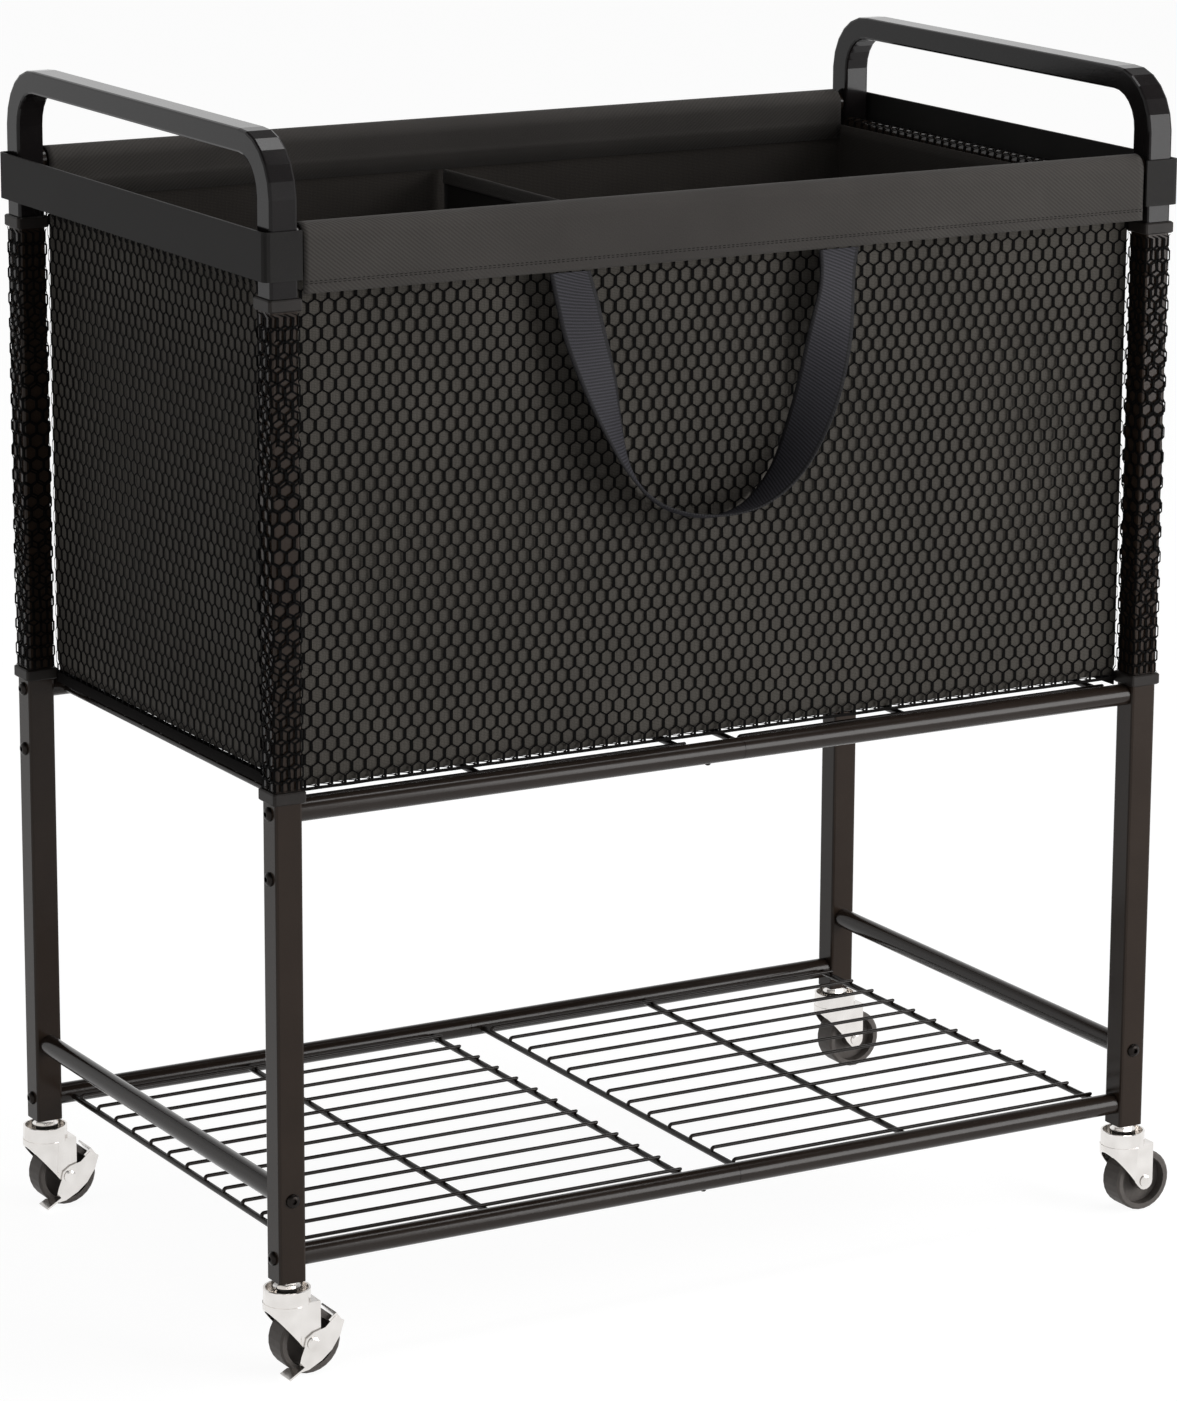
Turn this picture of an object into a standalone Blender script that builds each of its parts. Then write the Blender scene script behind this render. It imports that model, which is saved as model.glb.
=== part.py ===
"""Rolling laundry hamper: a bolted tube frame on four casters, with two wire racks,
a net bag with a liner and a divider, fabric hems, carry straps and two push handles.
Metres, +Z up, +X to the right and -Y to the front. The floor is z = 0."""

import math

import bmesh
import bpy
from mathutils import Matrix, Vector

# Fits
fit_gap = 0.0003
cut_overrun = 0.002
weld_sink = 0.0004

# Posts and legs
post_span_x = 0.758
post_span_y = 0.436
post_side = 0.022
post_corner = 0.002
tube_wall = 0.0015
caster_height = 0.0735
leg_length = 0.367
leg_plate = 0.003
upper_post_length = 0.3516
spigot_length = 0.055

# Collars and net sleeves on the posts
collar_height = 0.009
collar_overhang = 0.0025
collar_edge = 0.001
sleeve_wall = 0.0015

# Push handles
handle_rise = 0.1163
handle_bar_height = 0.0178
handle_inner_radius = 0.028

# End bands
band_height = 0.0356
band_wall = 0.002
band_stand_off = 0.006
band_corner = 0.004
band_past_post = 0.0025
band_above_collar = 0.0129

# Round rails and rods: the side rail's height is above the bottom of the legs,
# the top rail's above the foot of the handle, and the end rod's below the top rail
rail_diameter = 0.017
rail_wall = 0.0012
side_rail_height = 0.0642
top_rail_diameter = 0.018
top_rail_rise = 0.0416
end_rod_diameter = 0.012
end_rod_drop = 0.0174
end_rod_inset = 0.0064

# Wire racks: the lower one's height is above the bottom of the legs, and the upper one's
# rails lie below the top of the legs. A crossbar's drop is below the middle of the rails,
# its margin is from the end of its half, and the offset is from the first bar
lower_rack_height = 0.0177
upper_rack_drop = 0.0081
rack_seam = 0.0108
rack_spigot_length = 0.045
rack_spigot_wall = 0.0015
rack_spigot_root = 0.0045
crossbar_diameter = 0.005
crossbar_drop = 0.0008
first_bar_margin = 0.0115
first_bar_drop = 0.001
middle_bar_offset = 0.157
last_bar_margin_left = 0.0376
last_bar_margin_right = 0.0073
wire_diameter = 0.003
wire_side_margin = 0.0218
wire_overhang = 0.0015

# Bag, over the upper rack's wires and below the top rails
net_wall = 0.0012
net_over_rack = 0.0078
net_side_gap = 0.003
net_roll_wall = 0.0015
net_roll_flap = 0.024
net_roll_edge_gap = 0.003
liner_wall = 0.0012
divider_offset = -0.018
divider_wall = 0.002
divider_drop = 0.0294

# Hems over the top rails
hem_wall = 0.0015
hem_drop = 0.0399
hem_crease_drop = 0.0174
hem_bottom_radius = 0.004

# Carry straps
strap_width = 0.035
strap_wall = 0.0015
strap_spacing = 0.231
strap_drop = 0.196
strap_offset = -0.0225
strap_stand_off = 0.0005
strap_rise = 0.0006

# Casters
wheel_diameter = 0.050
wheel_width = 0.022
wheel_edge = 0.0015
wheel_rim = 0.005
wheel_web = 0.006
wheel_hub_radius = 0.008
axle_diameter = 0.006
axle_head_radius = 0.005
axle_head_height = 0.0015
caster_trail = 0.014
stem_diameter = 0.008
stem_length = 0.025
nut_across = 0.014
nut_height = 0.0045
race_radius = 0.0105
race_height = 0.0114
kingpin_diameter = 0.007
kingpin_head_radius = 0.0065
kingpin_head_height = 0.0025
fork_sheet = 0.0016
fork_cup_radius = 0.018
fork_cup_height = 0.012
fork_skirt_step = 0.0005
fork_flank_bulge = 0.001
fork_front_drop = 0.0015
fork_side_gap = 0.001
fork_foot_radius = 0.0072
fork_neck = 0.0052
lever_sheet = 0.0015
lever_reach = 0.025
lever_hub_radius = 0.0065
lever_tread_gap = 0.0015
lever_tab_length = 0.011
lever_tab_degrees = 36
lever_slope_degrees = 28

# Counts
wire_count = 13
corner_steps = 2
bend_steps = 6
arc_steps = 6
wheel_steps = 28
turned_steps = 20
rivet_steps = 14
rail_sides = 12
wire_sides_resolution = 1
strap_steps = 22

# Outline of a brake lever's side plate, as shares of its reach from the axle
lever_outline_shares = (
    (1.04, 0.56),
    (0.90, 0.12),
    (0.62, -0.30),
    (0.28, -0.58),
    (-0.14, -0.80),
    (-0.40, -0.84),
    (-0.46, -0.60),
    (-0.40, -0.36),
    (-0.28, -0.06),
    (-0.22, 0.18),
    (0.02, 0.34),
    (0.40, 0.44),
    (0.74, 0.74),
)

# Root of its pedal and the pedal's outline, downhill and across, as shares of the same reach
pedal_root_shares = (-0.42, -0.58)
pedal_outline_shares = (
    (-0.02, -0.03),
    (0.02, -0.34),
    (0.62, -0.38),
    (0.62, 0.26),
    (0.34, 0.26),
    (0.22, -0.03),
)

# Colours, as linear values, with roughness and metallic
finishes = {
    "powder_coated_tube": ((0.022, 0.020, 0.018, 1.0), 0.28, 0.0),
    "powder_coated_wire": ((0.018, 0.017, 0.016, 1.0), 0.35, 0.0),
    "black_plastic": ((0.030, 0.029, 0.028, 1.0), 0.55, 0.0),
    "net_polyester": ((0.010, 0.010, 0.010, 1.0), 0.85, 0.0),
    "liner_oxford": ((0.024, 0.023, 0.021, 1.0), 0.90, 0.0),
    "hem_canvas": ((0.045, 0.040, 0.037, 1.0), 0.85, 0.0),
    "strap_webbing": ((0.036, 0.035, 0.043, 1.0), 0.80, 0.0),
    "bright_plated_steel": ((0.72, 0.71, 0.70, 1.0), 0.16, 1.0),
    "wheel_rubber": ((0.026, 0.024, 0.023, 1.0), 0.55, 0.0),
}

# Derived places
half_x = post_span_x / 2
half_y = post_span_y / 2
inner_x = half_x - post_side / 2
inner_y = half_y - post_side / 2
wheel_radius = wheel_diameter / 2
wheel_corner_radius = wheel_radius / math.cos(math.pi / wheel_steps)
band_reach = post_side / 2 + band_stand_off
reach_left = half_x + max(band_reach, fork_cup_radius + fork_skirt_step)
reach_right = half_x + max(band_reach, caster_trail + wheel_radius)
frame_shift = (reach_left - reach_right) / 2
spigot_side = post_side - 2 * tube_wall - 2 * fit_gap
upper_post_base = leg_length + collar_height + 2 * fit_gap
upper_collar_base = upper_post_base + upper_post_length + fit_gap
handle_base = upper_collar_base + collar_height + fit_gap
handle_top = handle_base + handle_rise
band_base = handle_base + band_above_collar
top_rail_height = handle_base + top_rail_rise
end_rod_height = top_rail_height - end_rod_drop
upper_rack_height = leg_length - upper_rack_drop
# Height of a rack's wires over its rails, at their middle.
wire_height = (crossbar_diameter + wire_diameter) / 2 - weld_sink - crossbar_drop
# The wires share the depth between the two outermost, which keep a margin from the rails' middle.
wire_pitch = 2 * (half_y - wire_side_margin) / (wire_count - 1)
net_floor_height = upper_rack_height + wire_height + wire_diameter / 2 + net_over_rack
net_top_height = top_rail_height - top_rail_diameter / 2 - fit_gap
divider_top_height = top_rail_height - divider_drop
hem_bottom_height = top_rail_height - hem_drop
hem_crease_height = top_rail_height - hem_crease_drop
net_half_x = inner_x - net_side_gap
# The middle of a sheet that is bent round a rod in flats, which stay clear of the rod.
flat_share = math.cos(math.pi / 2 / arc_steps)
hem_inner_radius = top_rail_diameter / 2 + fit_gap
hem_path_radius = (hem_inner_radius + hem_wall / 2) / flat_share
net_half_y = half_y - hem_inner_radius + net_wall + fit_gap
liner_half_x = net_half_x - net_wall - fit_gap
liner_half_y = half_y - hem_inner_radius
liner_floor_height = net_floor_height + net_wall + fit_gap
hem_half_length = net_half_x - net_wall - fit_gap
strap_plane = half_y + hem_path_radius + strap_stand_off
strap_top_height = hem_bottom_height + strap_rise
swivel_drop = fit_gap + nut_height + race_height
crown_top = caster_height - swivel_drop - fit_gap
fork_inner_half = wheel_width / 2 + fork_side_gap
fork_outer_half = fork_inner_half + fork_sheet

AXIS_X = Vector((1, 0, 0))
AXIS_Y = Vector((0, 1, 0))
AXIS_Z = Vector((0, 0, 1))
UPRIGHT_FRONT = (AXIS_X, AXIS_Z, AXIS_Y)
UPRIGHT_SIDE = (AXIS_Y, AXIS_Z, AXIS_X)
LEVEL = (AXIS_X, AXIS_Y, AXIS_Z)

corners = {
    "front_left": (-1, -1),
    "front_right": (1, -1),
    "rear_left": (-1, 1),
    "rear_right": (1, 1),
}


# Scene and objects

for old in list(bpy.data.objects):
    bpy.data.objects.remove(old, do_unlink=True)

parts = bpy.data.collections.new("rolling_laundry_hamper")
cutters = bpy.data.collections.new("cutters")
bpy.context.scene.collection.children.link(parts)
bpy.context.scene.collection.children.link(cutters)


def make_finishes():
    made = {}
    for name, (colour, roughness, metallic) in finishes.items():
        finish = bpy.data.materials.new(name)
        finish.use_nodes = True
        shader = finish.node_tree.nodes["Principled BSDF"]
        shader.inputs["Base Color"].default_value = colour
        shader.inputs["Roughness"].default_value = roughness
        shader.inputs["Metallic"].default_value = metallic
        finish.diffuse_color = colour
        made[name] = finish
    return made


finish_of = make_finishes()


def empty(name, location, parent=None):
    """A named place that pieces are parented to."""
    holder = bpy.data.objects.new(name, None)
    holder.location = location
    holder.parent = parent
    parts.objects.link(holder)
    return holder


def tidy_mesh(mesh):
    """Weld loose caps and turn every face outwards."""
    work = bmesh.new()
    work.from_mesh(mesh)
    bmesh.ops.remove_doubles(work, verts=work.verts, dist=fit_gap / 100)
    bmesh.ops.recalc_face_normals(work, faces=work.faces)
    work.to_mesh(mesh)
    work.free()
    return mesh


def baked(holder):
    """The evaluated object as a plain mesh, and the object removed."""
    bpy.context.view_layer.update()
    graph = bpy.context.evaluated_depsgraph_get()
    mesh = bpy.data.meshes.new_from_object(holder.evaluated_get(graph))
    mesh.transform(holder.matrix_world)
    bpy.data.objects.remove(holder, do_unlink=True)
    return tidy_mesh(mesh)


def tool(name, mesh_or_curve):
    """An object in the cutters' collection, which the part leaves out."""
    holder = bpy.data.objects.new(name, mesh_or_curve)
    holder.display_type = "WIRE"
    holder.hide_render = True
    cutters.objects.link(holder)
    return holder


def combined(mesh, others, operation):
    """One exact Boolean of a mesh with several others, in turn."""
    holder = tool("work", mesh)
    helpers = []
    for other in others:
        helper = tool("helper", other)
        helpers.append(helper)
        step = holder.modifiers.new("step", "BOOLEAN")
        step.operation = operation
        step.solver = "EXACT"
        step.object = helper
    result = baked(holder)
    for helper in helpers:
        bpy.data.objects.remove(helper, do_unlink=True)
    return result


def place(name, mesh, finish, location=(0, 0, 0), parent=None):
    """Put a finished mesh in the part as its own named object."""
    if not mesh.materials:
        mesh.materials.append(finish_of[finish])
        mesh.shade_smooth()
        mesh.set_sharp_from_angle(angle=math.radians(35))
    holder = bpy.data.objects.new(name, mesh)
    holder.location = location
    holder.parent = parent
    parts.objects.link(holder)
    return holder


# Shapes

def rounded_ring(centre, across, along, width, depth, radius):
    """The points of a rounded rectangle in space."""
    points = []
    for quarter in range(4):
        sign_across = (1, -1, -1, 1)[quarter]
        sign_along = (1, 1, -1, -1)[quarter]
        for step in range(corner_steps + 1):
            angle = math.radians(90 * (quarter + step / corner_steps))
            x = sign_across * (width / 2 - radius) + radius * math.cos(angle)
            y = sign_along * (depth / 2 - radius) + radius * math.sin(angle)
            points.append(centre + across * x + along * y)
    return points


def level_ring(height, side, radius=post_corner):
    """A rounded square about the vertical axis."""
    return rounded_ring(AXIS_Z * height, AXIS_X, AXIS_Y, side, side, radius)


def skinned(name, rings, hollow=True):
    """Skin rings of equal counts: outside one way and back along the bore, or capped."""
    work = bmesh.new()
    loops = []
    for ring in rings:
        loops.append([work.verts.new(point) for point in ring])
    pairs = list(zip(loops, loops[1:]))
    if hollow:
        pairs.append((loops[-1], loops[0]))
    else:
        work.faces.new(loops[0])
        work.faces.new(loops[-1])
    count = len(rings[0])
    for low, high in pairs:
        for index in range(count):
            after = (index + 1) % count
            work.faces.new((low[index], low[after], high[after], high[index]))
    bmesh.ops.recalc_face_normals(work, faces=work.faces)
    mesh = bpy.data.meshes.new(name)
    work.to_mesh(mesh)
    work.free()
    return mesh


def flat_piece(name, outlines, low, high, axes):
    """Flat outlines, filled and extruded from low to high along the third axis."""
    curve = bpy.data.curves.new(name, "CURVE")
    curve.dimensions = "2D"
    curve.fill_mode = "BOTH"
    curve.extrude = (high - low) / 2
    for outline in outlines:
        spline = curve.splines.new("POLY")
        spline.points.add(len(outline) - 1)
        for point, (x, y) in zip(spline.points, outline):
            point.co = (x, y, 0, 1)
        spline.use_cyclic_u = True
    holder = tool(name, curve)
    turn = Matrix(axes).transposed().to_4x4()
    holder.matrix_world = Matrix.Translation(axes[2] * (low + high) / 2) @ turn
    return baked(holder)


def rod(name, points, diameter, resolution):
    """A wire or bar along straight runs, as a bevelled curve with filled caps."""
    curve = bpy.data.curves.new(name, "CURVE")
    curve.dimensions = "3D"
    curve.bevel_depth = diameter / 2
    curve.bevel_resolution = resolution
    curve.use_fill_caps = True
    spline = curve.splines.new("POLY")
    spline.points.add(len(points) - 1)
    for point, place_of in zip(spline.points, points):
        point.co = (*place_of, 1)
    return baked(tool(name, curve))


def cylinder(name, radius, low, high, axis, sides, centre=(0, 0, 0)):
    """A closed cylinder along an axis, with one flat side facing down where it lies level."""
    work = bmesh.new()
    bmesh.ops.create_cone(
        work,
        cap_ends=True,
        segments=sides,
        radius1=radius,
        radius2=radius,
        depth=high - low,
    )
    turn = Matrix.Rotation(math.pi / sides, 4, "Z")
    lay = AXIS_Z.rotation_difference(axis).to_matrix().to_4x4()
    shift = Matrix.Translation(Vector(centre) + axis * (low + high) / 2)
    bmesh.ops.transform(work, matrix=shift @ lay @ turn, verts=work.verts)
    mesh = bpy.data.meshes.new(name)
    work.to_mesh(mesh)
    work.free()
    return mesh


def box(name, low, high):
    """A closed box between two corners."""
    work = bmesh.new()
    bmesh.ops.create_cube(work, size=1)
    size = Vector(high) - Vector(low)
    middle = (Vector(high) + Vector(low)) / 2
    bmesh.ops.scale(work, vec=size, verts=work.verts)
    bmesh.ops.translate(work, vec=middle, verts=work.verts)
    mesh = bpy.data.meshes.new(name)
    work.to_mesh(mesh)
    work.free()
    return mesh


def turned(name, profile, steps, closed):
    """A profile of (radius, height) points turned about the vertical axis."""
    work = bmesh.new()
    verts = [work.verts.new((radius, 0, height)) for radius, height in profile]
    for first, second in zip(verts, verts[1:]):
        work.edges.new((first, second))
    if closed:
        work.edges.new((verts[-1], verts[0]))
    mesh = bpy.data.meshes.new(name)
    work.to_mesh(mesh)
    work.free()
    holder = tool(name, mesh)
    screw = holder.modifiers.new("turn", "SCREW")
    screw.steps = steps
    screw.render_steps = steps
    screw.use_merge_vertices = True
    screw.merge_threshold = fit_gap / 100
    return baked(holder)


def joined(name, meshes):
    """Several closed meshes that don't meet, as one mesh for a Boolean."""
    work = bmesh.new()
    for mesh in meshes:
        work.from_mesh(mesh)
    result = bpy.data.meshes.new(name)
    work.to_mesh(result)
    work.free()
    return result


def thick_path(points, thickness):
    """The closed outline of a sheet whose middle line runs through the points."""
    left = []
    right = []
    count = len(points)
    for index, (x, y) in enumerate(points):
        before = points[max(index - 1, 0)]
        after = points[min(index + 1, count - 1)]
        first = Vector((x - before[0], y - before[1]))
        second = Vector((after[0] - x, after[1] - y))
        first = first.normalized() if first.length else second.normalized()
        second = second.normalized() if second.length else first
        along = (first + second).normalized()
        normal = Vector((-along.y, along.x))
        reach = thickness / 2 / max(along.dot(first), math.cos(math.radians(60)))
        left.append((x + normal.x * reach, y + normal.y * reach))
        right.append((x - normal.x * reach, y - normal.y * reach))
    return left + right[::-1]


def arc(centre_x, centre_y, radius, start, end, steps):
    """Points on an arc, with angles in degrees."""
    points = []
    for step in range(steps + 1):
        angle = math.radians(start + (end - start) * step / steps)
        points.append((centre_x + radius * math.cos(angle), centre_y + radius * math.sin(angle)))
    return points


# Posts, legs, collars and sleeves

def lower_leg_mesh():
    bore_side = post_side - 2 * tube_wall
    rings = [
        level_ring(0, post_side),
        level_ring(leg_length, post_side),
        level_ring(leg_length, bore_side, post_corner / 2),
        level_ring(leg_plate, bore_side, post_corner / 2),
    ]
    tube = skinned("leg", rings, hollow=False)
    seat_radius = stem_diameter / 2 + fit_gap
    seat = cylinder("seat", seat_radius, -cut_overrun, leg_plate + cut_overrun, AXIS_Z, turned_steps)
    return combined(tube, [seat], "DIFFERENCE")


def upper_post_mesh():
    bore_side = post_side - 2 * tube_wall
    spigot_bore = spigot_side - 2 * tube_wall
    rings = [
        level_ring(-spigot_length, spigot_side, post_corner / 2),
        level_ring(0, spigot_side, post_corner / 2),
        level_ring(0, post_side),
        level_ring(upper_post_length, post_side),
        level_ring(upper_post_length, bore_side, post_corner / 2),
        level_ring(tube_wall, bore_side, post_corner / 2),
        level_ring(tube_wall, spigot_bore, post_corner / 2),
        level_ring(-spigot_length, spigot_bore, post_corner / 2),
    ]
    return skinned("upper_post", rings)


def collar_mesh():
    outer = post_side + 2 * collar_overhang
    hole = spigot_side + 2 * fit_gap
    rings = [
        level_ring(0, outer - 2 * collar_edge),
        level_ring(collar_edge, outer),
        level_ring(collar_height - collar_edge, outer),
        level_ring(collar_height, outer - 2 * collar_edge),
        level_ring(collar_height, hole, post_corner / 2),
        level_ring(0, hole, post_corner / 2),
    ]
    return skinned("collar", rings)


def sleeve_mesh():
    inner = post_side + 2 * fit_gap
    outer = inner + 2 * sleeve_wall
    length = upper_post_length - 2 * fit_gap
    rings = [
        level_ring(0, outer, post_corner + sleeve_wall),
        level_ring(length, outer, post_corner + sleeve_wall),
        level_ring(length, inner),
        level_ring(0, inner),
    ]
    return skinned("sleeve", rings)


# Handles and bands

def handle_rings(inset):
    """Rings along the U of a handle, front leg first; inset is 0 outside, a wall in the bore."""
    rings = []
    spigot = spigot_side - 2 * inset
    side = post_side - 2 * inset
    radius = post_corner / 2 if inset else post_corner
    shoulder = tube_wall if inset else 0
    bend_height = handle_rise - handle_bar_height - handle_inner_radius
    bend_centre = inner_y - handle_inner_radius
    for hand in (-1, 1):
        half = []
        outward = AXIS_Y * hand
        foot = outward * half_y
        half.append(rounded_ring(foot - AXIS_Z * spigot_length, AXIS_X, outward, spigot, spigot, post_corner / 2))
        half.append(rounded_ring(foot + AXIS_Z * shoulder, AXIS_X, outward, spigot, spigot, post_corner / 2))
        half.append(rounded_ring(foot + AXIS_Z * shoulder, AXIS_X, outward, side, side, radius))
        for step in range(bend_steps + 1):
            share = step / bend_steps
            angle = math.radians(90 * share)
            thickness = post_side + (handle_bar_height - post_side) * share
            normal = outward * math.cos(angle) + AXIS_Z * math.sin(angle)
            middle = outward * bend_centre + AXIS_Z * bend_height
            middle = middle + normal * (handle_inner_radius + thickness / 2)
            half.append(rounded_ring(middle, AXIS_X, normal, side, thickness - 2 * inset, radius))
        rings.extend(half if hand < 0 else half[::-1])
    return rings


def handle_mesh():
    outside = handle_rings(0)
    bore = handle_rings(tube_wall)
    return skinned("handle", outside + bore[::-1])


def band_mesh(hand):
    """A C-shaped strip about one end; hand is -1 at the left and 1 at the right."""
    outer_x = hand * (half_x + post_side / 2 + band_stand_off - band_wall / 2)
    inner_end = hand * (inner_x - band_past_post)
    face_y = half_y + post_side / 2 + fit_gap + band_wall / 2
    bend_x = outer_x - hand * band_corner
    bend_y = face_y - band_corner
    path = [(inner_end, -face_y)]
    front = arc(bend_x, -bend_y, band_corner, -90, -90 + 90 * hand, arc_steps // 2)
    rear = arc(bend_x, bend_y, band_corner, 90 - 90 * hand, 90, arc_steps // 2)
    path.extend(front)
    path.extend(rear)
    path.append((inner_end, face_y))
    outline = thick_path(path, band_wall)
    return flat_piece("band", [outline], 0, band_height, LEVEL)


# Rails, rods and racks

def tube_mesh(name, diameter, wall, low, high, axis):
    outside = cylinder(name, diameter / 2, low, high, axis, rail_sides)
    bore = cylinder("bore", diameter / 2 - wall, low - cut_overrun, high + cut_overrun, axis, rail_sides)
    return combined(outside, [bore], "DIFFERENCE")


def rack_half_mesh(hand):
    """One welded half of a rack about its rails' height; the right half carries the spigots."""
    if hand < 0:
        rail_low = -inner_x + fit_gap
        rail_high = rack_seam - fit_gap
        last_bar = rail_high - last_bar_margin_left
    else:
        rail_low = rack_seam
        rail_high = inner_x - fit_gap
        last_bar = rail_high - last_bar_margin_right
    rail_radius = rail_diameter / 2
    first_bar = rail_low + first_bar_margin
    first_height = -crossbar_drop - first_bar_drop
    bar_end = half_y - rail_radius / 2
    rails = []
    bores = []
    for side in (-1, 1):
        middle = (0, side * half_y, 0)
        rails.append(cylinder("rail", rail_radius, rail_low, rail_high, AXIS_X, rail_sides, middle))
        bore_radius = rail_radius - rail_wall
        if hand < 0:
            bores.append(cylinder(
                "bore", bore_radius, rail_low - cut_overrun, rail_high + cut_overrun,
                AXIS_X, rail_sides, middle))
            continue
        spigot_radius = bore_radius - fit_gap
        spigot_end = rail_low - rack_spigot_length
        root = rail_low + rack_spigot_root
        spigot = cylinder("spigot", spigot_radius, spigot_end, root, AXIS_X, rail_sides, middle)
        rails[-1] = combined(rails[-1], [spigot], "UNION")
        bores.append(cylinder("bore", bore_radius, root, rail_high + cut_overrun, AXIS_X, rail_sides, middle))
        bores.append(cylinder(
            "bore", spigot_radius - rack_spigot_wall, spigot_end - cut_overrun, root + cut_overrun,
            AXIS_X, rail_sides, middle))
    bars = []
    bar_places = (
        (first_bar, first_height),
        (first_bar + middle_bar_offset, -crossbar_drop),
        (last_bar, -crossbar_drop),
    )
    for x, height in bar_places:
        ends = [(x, -bar_end, height), (x, bar_end, height)]
        bars.append(rod("crossbar", ends, crossbar_diameter, wire_sides_resolution))
    wires = []
    for index in range(wire_count):
        y = wire_pitch * (index - (wire_count - 1) / 2)
        run = [
            (first_bar, y, first_height),
            (first_bar, y, wire_height),
            (last_bar + wire_overhang, y, wire_height),
        ]
        wires.append(rod("wire", run, wire_diameter, wire_sides_resolution))
    welded = combined(joined("rails", rails), [joined("bars", bars), joined("wires", wires)], "UNION")
    return combined(welded, bores, "DIFFERENCE")


# Bag, hems and straps

def open_box(name, half_width, half_depth, floor, top, wall):
    """A box with a floor and four walls, open at the top."""
    outside = box(name, (-half_width, -half_depth, floor), (half_width, half_depth, top))
    hollow = box(
        "hollow",
        (wall - half_width, wall - half_depth, floor + wall),
        (half_width - wall, half_depth - wall, top + cut_overrun),
    )
    return combined(outside, [hollow], "DIFFERENCE")


def net_shell_mesh():
    """The outer net, with its ends folded over the end rods."""
    shell = open_box("net", net_half_x, net_half_y, net_floor_height, net_top_height, net_wall)
    folds = []
    reach = (end_rod_diameter / 2 + fit_gap + net_roll_wall / 2) / flat_share
    length = inner_y - collar_overhang - net_roll_edge_gap
    for hand in (-1, 1):
        rod_x = hand * (half_x - end_rod_inset)
        wall_x = rod_x - hand * reach
        outer_x = rod_x + hand * reach
        over = arc(rod_x, end_rod_height, reach, 90 + 90 * hand, 90 - 90 * hand, arc_steps)
        path = [(wall_x, end_rod_height - net_roll_flap)]
        path.extend(over)
        path.append((outer_x, end_rod_height - net_roll_flap))
        outline = thick_path(path, net_roll_wall)
        folds.append(flat_piece("fold", [outline], -length, length, UPRIGHT_FRONT))
    return combined(shell, folds, "UNION")


def hem_mesh(hand):
    """A cuff over a top rail; hand is -1 at the front and 1 at the rear."""
    rail_y = hand * half_y
    inner_y_of_hem = rail_y - hand * hem_path_radius
    outer_y_of_hem = rail_y + hand * hem_path_radius
    lip_height = hem_bottom_height + hem_wall / 2
    turn_y = outer_y_of_hem - hand * hem_bottom_radius
    turn_z = lip_height + hem_bottom_radius
    lip_end = hand * (net_half_y + fit_gap)
    path = [(inner_y_of_hem, hem_crease_height)]
    over = arc(rail_y, top_rail_height, hem_path_radius, 90 + 90 * hand, 90 - 90 * hand, arc_steps)
    path.extend(over)
    path.extend(arc(turn_y, turn_z, hem_bottom_radius, 90 - 90 * hand, 90 - 180 * hand, arc_steps // 2))
    path.append((lip_end, lip_height))
    outline = thick_path(path, hem_wall)
    return flat_piece("hem", [outline], -hem_half_length, hem_half_length, UPRIGHT_SIDE)


def strap_mesh(hand):
    """A webbing loop that hangs from its two sewn ends and turns edge-on at the bottom."""
    rings = []
    half_gap = strap_spacing / 2
    for step in range(strap_steps + 1):
        share = step / strap_steps
        angle = math.pi * share
        x = -half_gap * math.copysign(abs(math.cos(angle)) ** 0.62, math.cos(angle))
        z = -strap_drop * math.sin(angle) ** 0.92
        slope_x = math.sin(angle)
        slope_z = -math.cos(angle) * strap_drop / half_gap
        along = Vector((slope_x, 0, slope_z)).normalized()
        turn = min(max((math.sin(angle) - 0.25) / 0.7, 0), 1)
        lean = math.radians(90) * turn * turn * (3 - 2 * turn)
        side = Vector((0, 1, 0)).cross(along)
        outward = AXIS_Y * hand
        across = -side * math.cos(lean) + outward * math.sin(lean)
        normal = along.cross(across).normalized()
        middle = Vector((x, 0, z))
        rings.append([
            middle + across * (sign_a * strap_width / 2) + normal * (sign_n * strap_wall / 2)
            for sign_a, sign_n in ((1, 1), (-1, 1), (-1, -1), (1, -1))
        ])
    mesh = skinned("strap", rings, hollow=False)
    work = bmesh.new()
    work.from_mesh(mesh)
    bmesh.ops.triangulate(work, faces=work.faces)
    work.to_mesh(mesh)
    work.free()
    return mesh


# Casters

def stem_mesh():
    """Stud, nut, race and riveted kingpin; its origin is at the bottom of the leg."""
    nut_top = -fit_gap
    nut_bottom = nut_top - nut_height
    race_bottom = nut_bottom - race_height
    pin_bottom = race_bottom - 2 * fit_gap - fork_sheet
    profile = [
        (0, stem_length),
        (stem_diameter / 2, stem_length),
        (stem_diameter / 2, nut_bottom),
        (race_radius, nut_bottom),
        (race_radius, race_bottom),
        (kingpin_diameter / 2, race_bottom),
        (kingpin_diameter / 2, pin_bottom),
        (kingpin_head_radius, pin_bottom),
        (kingpin_head_radius, pin_bottom - kingpin_head_height / 2),
        (kingpin_head_radius * 0.6, pin_bottom - kingpin_head_height),
        (0, pin_bottom - kingpin_head_height),
    ]
    pin = turned("stem", profile, turned_steps, closed=False)
    nut_radius = nut_across / 2 / math.cos(math.pi / 6)
    nut = cylinder("nut", nut_radius, nut_bottom - weld_sink, nut_top, AXIS_Z, 6)
    return combined(pin, [nut], "UNION")


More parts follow.
